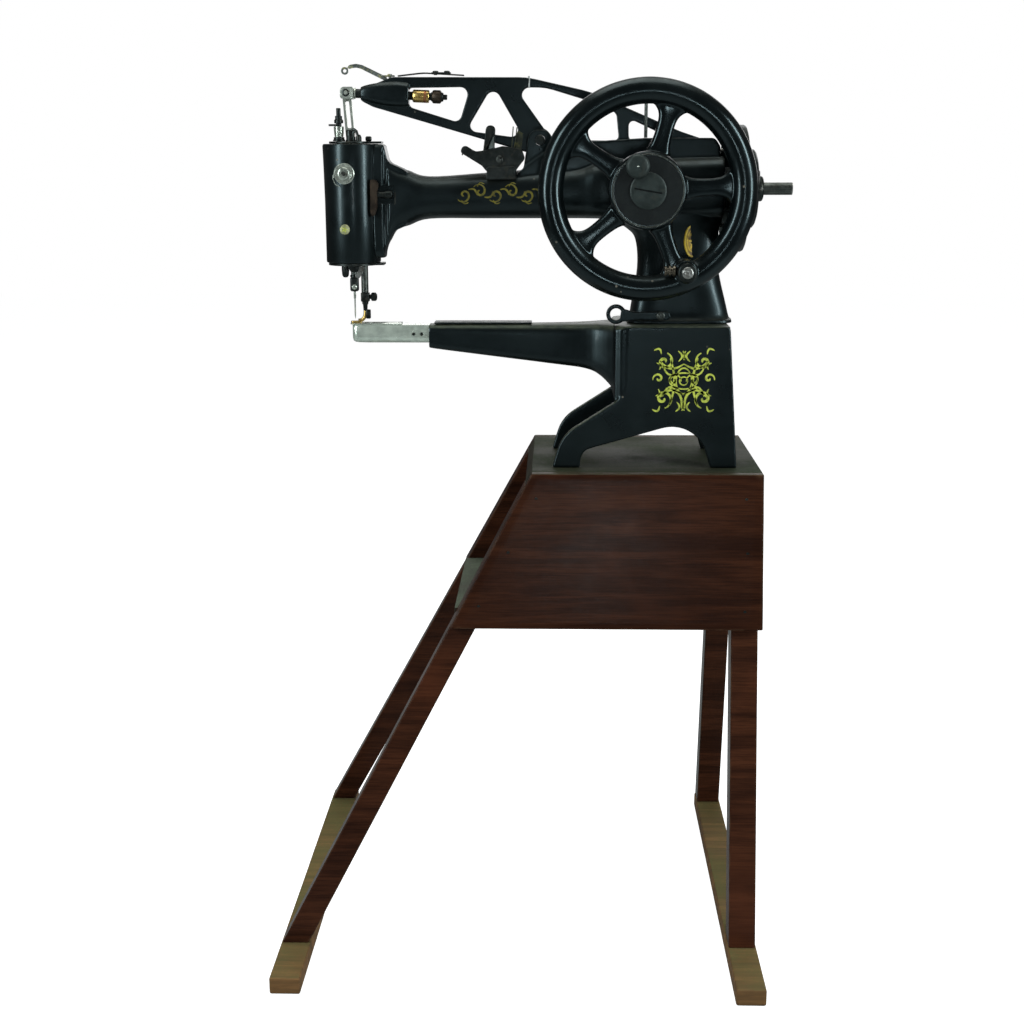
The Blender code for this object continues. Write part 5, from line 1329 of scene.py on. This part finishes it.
def build_beam():
    edge = filleted(BEAM_EDGE)
    windows = [filleted(corners) for corners in BEAM_WINDOWS]
    web = plate("web", [edge] + windows, MID - 6.4, MID + 6.4)
    nose = loft("nose", "X", smooth_sections([
        (-247.3, 446, 461.8, 8.6, 2.4), (-240, 443.6, 464.2, 10.4, 2.6), (-226, 440.4, 466.6, 11.6, 3),
        (-205, 438, 467.6, 12.2, 3.4), (-190, 438.4, 466, 12.2, 3.6), (-187.6, 439.4, 465, 11.6, 3.6)], 3))
    hub = lathe("hub", "Y", (PIVOT_X, PIVOT_Z), [
        (0, MID - 7.4), (13.6, MID - 7.4), (14.4, MID - 6.6), (14.4, MID + 6.6), (13.6, MID + 7.4),
        (0, MID + 7.4)], 64)
    beam = cast("beam_casting", [web, nose, hub], 1, 7)
    beam = cut(beam, rod_part("nose_bore", ROD_R + 0.3, -262, -182),
               rod("hub_bore", "Y", (PIVOT_X, PIVOT_Z), 6.3, 135, 85, 32))
    stud = lathe("tail_stud", "X", (MID, 385.2), [
        (0, 208.6), (3.6, 208.6), (4, 208), (4, 203.8), (2.2, 203.6), (2.2, 189), (0, 189)], 32)
    piece(beam, "walking_beam", "japan", "walking_beam")
    piece(stud, "walking_beam", "steel")
    build_beam_fittings()
    build_rod()
    build_link()


def build_beam_fittings():
    line = [(-263.2, 484), (-258.6, 486.2), (-252, 487), (-245.4, 485.6), (-238, 482), (-214, 470.4)]
    sides = [[], []]
    for k, here in enumerate(line):
        along = Vector(line[min(k + 1, len(line) - 1)]) - Vector(line[max(k - 1, 0)])
        across = Vector((-along.y, along.x)).normalized() * (2 + 0.7 * k / len(line))
        sides[0].append((*(Vector(here) + across), 4))
        sides[1].append((*(Vector(here) - across), 4))
    strip = plate("hook_strip", [filleted(sides[0] + sides[1][::-1])], MID - 1.5, MID + 1.5, bevel=0.5)
    eye = lathe("hook_eye", "Y", (-266.4, 481), [
        (4.5, MID - 1.6), (4.5, MID + 1.6), (2.1, MID + 1.6), (2.1, MID - 1.6)], 36, 0.5)
    foot = block("hook_foot", (-222, MID - 4, 473.9), (-205, MID + 4, 475.6), 0.5)
    head = screw_head("hook_screw", "Z", (-211, MID), 475.4, 1, 2.9, 1.6, 25, 0.8)
    join_plain("take_up_hook", [strip, eye, foot, head], "walking_beam", "hook_steel", "thread_hook")
    tape = plate("marking_tape", [
        [Vector(c) for c in ((MID - 7, 460.5), (MID + 7, 460.5), (MID + 7, 473.8), (MID - 7, 473.8))],
        [Vector(c) for c in ((MID - 5, 462.5), (MID + 5, 462.5), (MID + 5, 471.6), (MID - 5, 471.6))]],
        -41.8, -39.4, "YZ", 0.4)
    piece(tape, "walking_beam", "white_tape")
    leaf_strip = plate("tension_leaf", [filleted([
        (-201, 474), (-170, 477.4, 60), (-120, 474.4), (-120, 475.8), (-170, 478.8, 60),
        (-201, 475.4)])], MID - 5, MID + 5, bevel=0.3)
    clamp = block("leaf_clamp", (-160, MID - 6, 476.6), (-136, MID + 6, 478.8), 0.6)
    heads = [screw_head(f"leaf_screw_{k}", "Z", (x, MID), 478.6, 1, 3.6, 1.9, 60 * k, 0.9)
             for k, x in enumerate((-155, -141))]
    join_plain("leaf_spring_visual", [leaf_strip, clamp] + heads, "walking_beam",
        "dark_steel",
               "leaf_spring", slot="bright_steel")


def build_rod():
    bar = rod_part("rod_bar", 0, 0, 0, [
        (0, -140.8), (2.6, -140.8), (3.2, -141.6), (3.2, -145.5), (4.6, -145.5), (ROD_R, -146.6),
        (ROD_R, -160.5), (4.4, -161), (4.4, -163), (ROD_R, -163.2),
        (ROD_R, -183.6), (5, -184.2), (5, -187), (ROD_R, -187.4), (ROD_R, -256), (0, -256)])
    left, top = LINK_TOP
    block_head = plate("clevis", [filleted([
        (left - 7, top - 7, 3), (left - 7, top + 7, 5), (left + 9, top + 7, 1.5),
        (left + 9, top - 7.5, 1.5)])], MID - 8, MID + 8, bevel=0.8)
    block_head = cut(block_head, block("clevis_gap", (left - 9, MID - 4.4, top - 12), (left + 7.5,
        MID + 4.4, top + 12)))
    pin = lathe("clevis_pin", "Y", (left, top), [
        (0, MID + 9), (2.1, MID + 9), (2.5, MID + 8.4), (2.5, MID - 8.8), (2, MID - 9.4), (0, MID - 9.4)], 28)
    collar = rod_part("rod_collar", 0, 0, 0,
        [(ROD_R - 0.4, -253.4), (6.6, -253.4), (6.6, -255), (ROD_R - 0.4, -255)])
    join_plain("clevis_block", [block_head, collar], "needle_rod", "nickel", slot="dark_steel")
    washer = lathe("pin_ring", "Y", (left, top), [
        (0, MID - 7.6), (4.6, MID - 7.6), (4.6, MID - 8.3), (4, MID - 8.6), (0, MID - 8.6)], 36)
    piece(washer, "needle_rod", "dark_steel")
    piece(pin, "needle_rod", "nickel")
    piece(bar, "needle_rod", "dark_steel", "needle_rod")
    bore = ROD_R + 0.3
    sleeve = rod_part("sleeve", 0, 0, 0, [
        (bore, -163), (6.9, -163), (7.7, -164), (7.7, -182), (6.9, -183), (bore, -183)])
    piece(sleeve, "needle_rod", "brass", "brass_sleeve")
    band = rod_part("sleeve_band", 0, 0, 0, [(7.2, -166), (7.72, -166.2), (7.72, -169.4), (7.2, -169.6)])
    piece(band, "needle_rod", "copper")
    nut = rod_part("nut", 0, 0, 0, [
        (bore, -148), (6.4, -148), (8.1, -149.6), (8.1, -157.6), (7, -159), (bore, -159)], 48)
    centre = place((ROD_X, MID, ROD_Z))
    for vertex in nut.data.vertices:
        offset = vertex.co - centre
        reach = math.hypot(offset.y, offset.z)
        if reach > 7 * MM:
            turn = math.atan2(offset.z, offset.y)
            scale = 1 - 0.035 * (0.5 + 0.5 * math.cos(turn * 24))
            vertex.co = Vector((vertex.co.x, centre.y + offset.y * scale, centre.z + offset.z * scale))
    piece(nut, "needle_rod", "brown_steel", "rod_nut")


def build_link():
    """A channel-shaped bright link from the clevis to the swivel."""
    left, top = LINK_TOP
    low_x, low_z, half = HEAD_X, LINK_LOW_Z, 5.4
    lean = (left - low_x) / (top - low_z)
    corners = filleted([
        (low_x - half, low_z - 4.5, 4), (left - half, top + 6, 5), (left + half, top + 6, 5),
        (low_x + half, low_z - 4.5, 4)])
    window = filleted([
        (low_x + lean * 9 - 2.4, low_z + 9, 1.5), (left - lean * 10 - 2.4, top - 10, 1.5),
        (left - lean * 10 + 2.4, top - 10, 1.5), (low_x + lean * 9 + 2.4, low_z + 9, 1.5)])
    link = plate("link_bar", [corners, window, ring(left, top, 2.8), ring(low_x, low_z, 3.6)],
                 MID - 3, MID + 3, bevel=0.5)
    piece(link, "needle_link", "nickel", "needle_link", slot="nickel")


# --- head ------------------------------------------------------------------------------------
def build_head():
    axis = (HEAD_X, MID)
    barrel = lathe("barrel", "Z", axis, [
        (HEAD_R - 0.6, HEAD_HIGH), (HEAD_R + 0.7, HEAD_HIGH - 0.6), (HEAD_R + 1.3, HEAD_HIGH - 2.2),
        (HEAD_R + 0.6, HEAD_HIGH - 30), (HEAD_R, HEAD_HIGH - 70), (HEAD_R, HEAD_LOW + 1.8),
        (HEAD_R - 0.5, HEAD_LOW + 0.5), (HEAD_R - 1.6, HEAD_LOW), (25, HEAD_LOW),
        (25, HEAD_HIGH - 8), (9.5, HEAD_HIGH - 8), (9.5, HEAD_HIGH - 0.9), (24, HEAD_HIGH - 0.9),
        (24.6, HEAD_HIGH)], 128)
    tools = [
        rod("tension_hole", "Y", TENSION, 2.8, 100, 65, 32),
        rod("screw_hole", "Z", (SCREW_X, MID), 3.4, 410, 380, 32),
    ]
    barrel = cut(barrel, *tools)
    piece(barrel, ROOT, "japan", "head_barrel")
    build_plates()
    build_head_front()
    build_tension()
    build_bushing()
    build_pressure_screw()
    build_needle()
    build_presser()


def build_plates():
    for name, outer, inner, low, high in (
        ("head_lower_plate", 31.5, 20.5, HEAD_LOW - 3.2, HEAD_LOW - 0.4),
        ("head_upper_plate", 27, 19.5, HEAD_HIGH + 0.4, HEAD_HIGH + 3),
    ):
        turns = [math.radians(a) for a in range(24, 340, 4)]
        outline = [Vector(polar((HEAD_X, MID), outer, a)) for a in turns]
        outline += [Vector((-222, MID - 11)), Vector((-222, MID + 11))]
        flat = plate(name + "_visual", [outline, ring(HEAD_X, MID, inner, 64)], low, high, "XY", 0.5)
        piece(flat, ROOT, "dark_steel", name)
    head = block("square_head", (-242.8, MID - 3.5, HEAD_HIGH + 3),
        (-235.2, MID + 3.5, HEAD_HIGH + 9.2), 1.9, 3)
    piece(head, ROOT, "dark_steel")
    rim = []
    for k, turn in enumerate((200, 250, 300)):
        a = math.radians(turn)
        spot = polar((HEAD_X, MID), 24.3, a)
        rim.append(screw_head(f"ring_screw_{k}", "Z", spot, HEAD_LOW - 3.1, -1, 1.9, 0.9, 30 * k, 0.6))
    join_plain("lower_plate_screws", rim, ROOT, "steel")
    finger = [
        tube("top_finger", [(-248, MID - 13, 397.2), (-250, MID - 14, 402), (-252, MID - 14, 409),
            (-255, MID - 13, 411.5),
                            (-258, MID - 12, 410)], 1.7),
        lathe("finger_post", "Z", (-249.5, MID - 14),
            [(0, 397), (3.6, 397), (3.6, 402), (2.2, 405), (0, 405)], 28),
    ]
    join_plain("thread_finger", finger, ROOT, "dark_steel", slot="bright_steel")


def build_head_front():
    """A guide boss behind the tension, a round gilt screw low on the barrel, and the feed slide."""
    face_y = MID - HEAD_R
    boss = lathe("tension_boss", "Y", TENSION, [
        (0, face_y + 4), (9.4, face_y + 4), (8.6, face_y - 0.3), (6, face_y - 0.9), (0, face_y - 0.9)], 48)
    hole = rod("boss_hole", "Y", TENSION, 2.7, 100, 60, 32)
    piece(cut(boss, hole), ROOT, "japan")
    spot = (HEAD_X - 5.9, 291.3)
    seal = lathe("barrel_screw", "Y", spot, [
        (0, face_y + 3), (6.2, face_y + 3), (6.2, face_y - 0.2), (5.6, face_y - 0.8)]
        + dome(5.2, face_y - 0.8, -0.5, 4), 48)
    piece(seal, ROOT, "pale_brass")
    petals = []
    for k in range(5):
        t = math.tau * k / 5
        points = [(spot[0] + r * math.cos(t), face_y - 1.1, spot[1] + r * math.sin(t))
            for r in (0.4, 1.6, 2.8, 3.8)]
        petals.append(object_from("petal", ribbon(points, 1.5, 0.35)))
    join_plain("barrel_screw_rosette", petals, ROOT, "gilt")
    slide = plate("slide_crescent", [filleted([
        (-235.2, 351.5, 2), (-223, 351, 7), (-227, 336, 9), (-226.6, 318, 14), (-231.4, 304.6, 3),
        (-235.4, 309, 12)])], 79.6, 83.8, bevel=1.2)
    piece(slide, "feed_slide", "brown_steel", "feed_slide", slot="brown_steel")
    stud = lathe("slide_stud", "X", (84.6, 333), [
        (0, -208.6), (4.2, -208.6), (4.7, -209.2), (4.7, -217), (3.6, -217.4), (3.6, -228.5),
        (0, -228.5)], 32)
    piece(stud, "feed_slide", "dark_steel")


def build_tension():
    x, z = TENSION
    stud = lathe("tension_rod", "Y", TENSION, [
        (0, 82.5), (2.4, 82.5), (2.4, 72.9), (12.2, 72.9), (12.6, 72.4), (12.5, 71.8),
        (2.4, 71.8), (2.4, 59.1),
        (2, 58.6), (0, 58.6)], 64)
    piece(stud, ROOT, "gun_steel", "tension_stud")
    disc = lathe("front_disc", "Y", TENSION, [
        (12.5, 70.1), (12.6, 69.7), (11.6, 69.1), (9.8, 69.4), (8.6, 68.9), (2.7, 68.9), (2.7, 69.8),
        (9.8, 70.1)], 72)
    piece(disc, ROOT, "nickel", "tension_disc", slot="nickel")
    nut = lathe("thumb_nut", "Y", TENSION, [
        (7.2, 68), (8, 67.3), (8, 63.7), (7.2, 62.7), (5.4, 62.3), (4.4, 63.1), (2.7, 63.1), (2.7, 68)], 96,
        sectors=lambda turn: 1 - 0.03 * (0.5 + 0.5 * math.cos(turn * 24)))
    piece(nut, "tension_nut", "nickel", "tension_nut", slot="nickel")
    wire = [(x - 12.4, 72.4, z + 1), (x - 14, 72.4, z - 6), (x - 11.5, 72.6, z - 12.5),
        (x - 6.5, 73.2, z - 15.5)]
    check = tube("check_wire", wire, 0.6)
    piece(check, ROOT, "nickel")


def build_bushing():
    low, high = HEAD_LOW + 0.5, HEAD_HIGH - 9
    sleeve = lathe("bushing_sleeve", "Z", (HEAD_X, MID),
        [(24.6, high), (24.6, low), (21.5, low), (21.5, high)], 96)
    guide = plate("bushing_guide", [
        ring(HEAD_X, MID, 21.8, 64), ring(HEAD_X, MID, NEEDLE_BAR_R + 0.3),
        ring(PRESSER_X, MID, PRESSER_R + 0.3)],
        low + 0.3, low + 8.5, "XY", 0.4)
    boss = lathe("bushing_boss", "Z", (HEAD_X - 10.4, MID - 5), [
        (0, low + 3), (4.7, low + 3), (4.7, HEAD_LOW - 10), (4.2, HEAD_LOW - 16), (2.6, HEAD_LOW - 18.6),
        (0, HEAD_LOW - 19)], 32)
    brace = plate("guide_brace", [filleted([
        (HEAD_X - 9, HEAD_LOW), (HEAD_X + 9, HEAD_LOW), (HEAD_X + 6.5, HEAD_LOW - 11.5, 3),
        (HEAD_X - 3, HEAD_LOW - 12, 3)])],
        MID - 11, MID - 6.5, bevel=0.8)
    guard = plate("slanted_guard", [filleted([
        (-251.5, HEAD_LOW - 1), (-245.5, HEAD_LOW - 1), (-248.5, HEAD_LOW - 12, 5),
        (-253.5, HEAD_LOW - 20, 2),
        (-258.8, HEAD_LOW - 17.5, 2), (-254, HEAD_LOW - 9, 5)])], MID - 13.5, MID - 11.5, bevel=0.5)
    piece(guard, "revolving_head", "steel")
    join_plain("bushing", [sleeve, guide, boss, brace], "revolving_head", "dark_steel",
        "revolving_bushing")
    turns, per_turn = 7, 20
    coil = []
    for k in range(turns * per_turn + 1):
        t = math.tau * k / per_turn
        coil.append((PRESSER_X + 6.6 * math.cos(t), MID + 6.6 * math.sin(t),
            344.4 + 28.4 * k / (turns * per_turn)))
    spring = tube("bar_spring", coil, 0.8, sides=3)
    piece(spring, "revolving_head", "steel", "presser_spring")


def build_pressure_screw():
    """The knurled screw and lock nut beside the link, with a thin finger under them."""
    rod = lathe("pressure_rod", "Z", (SCREW_X, MID), [
        (0, 437), (2.3, 437), (2.8, 436.2), (2.8, 428), (4.4, 427.4), (4.4, 423.6), (5.6, 422.8), (5.6, 419),
        (3.2, 418.4), (3.2, 388.5), (0, 388.5)], 48)
    piece(rod, "pressure_screw", "dark_steel", "pressure_screw")
    finger = plate("screw_finger", [filleted([
        (-287.6, MID - 5, 1.5), (-275.5, MID - 6), (-275.5, MID + 6), (-287.6, MID - 1, 1.5)]),
        ring(SCREW_X, MID, 3.5, 24)], 415.4, 417.8, "XY")
    pot = lathe("screw_pot", "Z", (SCREW_X, MID), [
        (3.5, 415), (6, 415), (6.4, 414), (6, 408), (5.4, 402.4), (3.5, 402.4)], 40)
    ring_nut = lathe("screw_ring", "Z", (SCREW_X, MID), [
        (3.5, 402.2), (6.6, 402.2), (6.6, 399.6), (7.6, 399.2), (7.6, 397.4), (3.5, 397.4)], 40)
    join_plain("screw_support", [finger, ring_nut], ROOT, "dark_steel")
    piece(pot, ROOT, "nickel")


def build_needle():
    bar = lathe("needle_bar_rod", "Z", (HEAD_X, MID), [
        (0, 396), (3.6, 396), (NEEDLE_BAR_R, 395.4), (NEEDLE_BAR_R, 231.7), (0, 231.7)], 40)
    piece(bar, "needle_bar", "gun_steel", "needle_bar", slot="nickel")
    clamp = block("clamp_block", (HEAD_X - 5.2, MID - 5.5, 213), (HEAD_X + 5.2, MID + 5.5, 230.6), 2.2, 3)
    collar = lathe("clamp_collar", "Z", (HEAD_X, MID),
        [(0, 233.5), (5, 233.5), (5.3, 232.8), (5.3, 230.6), (0, 230.6)], 36)
    knob = screw_head("clamp_screw", "Y", (HEAD_X + 0.6, 219), MID - 5.3, -1, 3.4, 3, 35, 0.9)
    piece(knob, "needle_bar", "nickel")
    join_plain("needle_clamp_visual", [clamp, collar], "needle_bar", "dark_steel", "needle_clamp")
    needle = lathe("needle_steel", "Z", (HEAD_X, MID), [
        (0, 214.2), (1.5, 214.2), (1.5, 205), (0.9, 203), (0.9, 184), (0.55, 180.5), (0, 178)], 20)
    piece(needle, "needle_bar", "nickel", "needle", slot="nickel")
    swivel = lathe("swivel_fork", "Z", (HEAD_X, MID), [
        (0, 411), (5.6, 411), (SWIVEL_R, 410.2), (SWIVEL_R, 397.2), (5.6, 396.5), (0, 396.5)], 48)
    gap = block("fork_gap", (HEAD_X - 12, MID - 3.5, 399), (HEAD_X + 12, MID + 3.5, 420))
    swivel = cut(swivel, gap)
    pin = lathe("fork_pin", "Y", (HEAD_X, LINK_LOW_Z),
        [(0, MID + 5.4), (2.5, MID + 5.4), (2.5, MID - 5.4), (0, MID - 5.4)], 28)
    join_plain("needle_swivel_visual", [swivel, pin], "needle_swivel", "dark_steel",
        "needle_swivel")


def build_presser():
    bar = lathe("presser_rod", "Z", (PRESSER_X, MID), [
        (0, 376), (4, 376), (PRESSER_R, 375.2), (PRESSER_R, 343), (7.5, 343), (7.5, 337),
        (PRESSER_R, 337), (PRESSER_R, 212), (0, 212)], 40)
    piece(bar, "presser_bar", "gun_steel", "presser_bar")
    clamp = block("foot_block", (PRESSER_X - 5, MID - 5.5, 200), (PRESSER_X + 5.5, MID + 5.5, 211.7), 1.4, 3)
    thumb = lathe("thumb_screw", "X", (MID, 206), [
        (0, PRESSER_X + 15), (3.4, PRESSER_X + 15), (5.4, PRESSER_X + 13.4), (5.4, PRESSER_X + 8.9),
        (4.4, PRESSER_X + 7.8), (3, PRESSER_X + 7.6), (3, PRESSER_X + 4), (0, PRESSER_X + 4)], 60,
        sectors=lambda turn: 1 - 0.05 * (0.5 + 0.5 * math.cos(turn * 15)))
    join_plain("foot_clamp_visual", [clamp, thumb], "presser_bar", "dark_steel", "foot_clamp")
    stem = lathe("foot_stem", "Z", (PRESSER_X, MID), [
        (0, 199.7), (4, 199.7), (4, 197.5), (3, 196), (2.6, 189), (0, 189)], 36)
    heel = block("foot_heel", (PRESSER_X + 1, MID - 3, 178.5), (PRESSER_X + 6.5, MID + 3, 190), 1)
    join_plain("presser_foot_stem", [stem, heel], "presser_bar", "dark_steel", slot="brass")
    path = [(0, 192), (-0.1, 186.5), (-0.4, 183.4), (-1.1, 181), (-2.2, 179), (-3.8, 177.4), (-6, 176.4),
            (-9, 176)]
    shank = tube("foot_shank", [(PRESSER_X + x, MID, z) for x, z in path], 2.4)
    toe = plate("foot_toe", [
        filleted([(HEAD_X - 5.5, MID - 4.5, 3.5), (HEAD_X + 8, MID - 4.5, 1), (HEAD_X + 8, MID + 4.5, 1),
                  (HEAD_X - 5.5, MID + 4.5, 3.5)]), ring(HEAD_X, MID, 1.9)], TIP_TOP + 2.1,
                  TIP_TOP + 4, "XY", 0.5)
    join_plain("presser_foot_visual", [shank, toe], "presser_bar", "brass", "presser_foot")


# --- parts that stay hidden inside -----------------------------------------------------------
def paint_inner():
    """CAD pieces that lie inside the castings keep their shape and get their metal."""
    looks = {
        "wheel_shaft": "steel", "main_shaft": "steel", "shuttle": "nickel", "shuttle_rack": "steel",
        "shuttle_lever": "dark_steel",
    }
    for node, look in looks.items():
        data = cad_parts[node].data
        data.materials.clear()
        data.materials.append(LOOKS[look])


ROOT = "machine_frame"
add_camera()
add_lights()
add_world()
add_floor()
LOOKS = make_materials()
build_stand()
build_base()
build_arm()
build_wheel()
build_shaft()
build_beam()
build_head()
paint_inner()
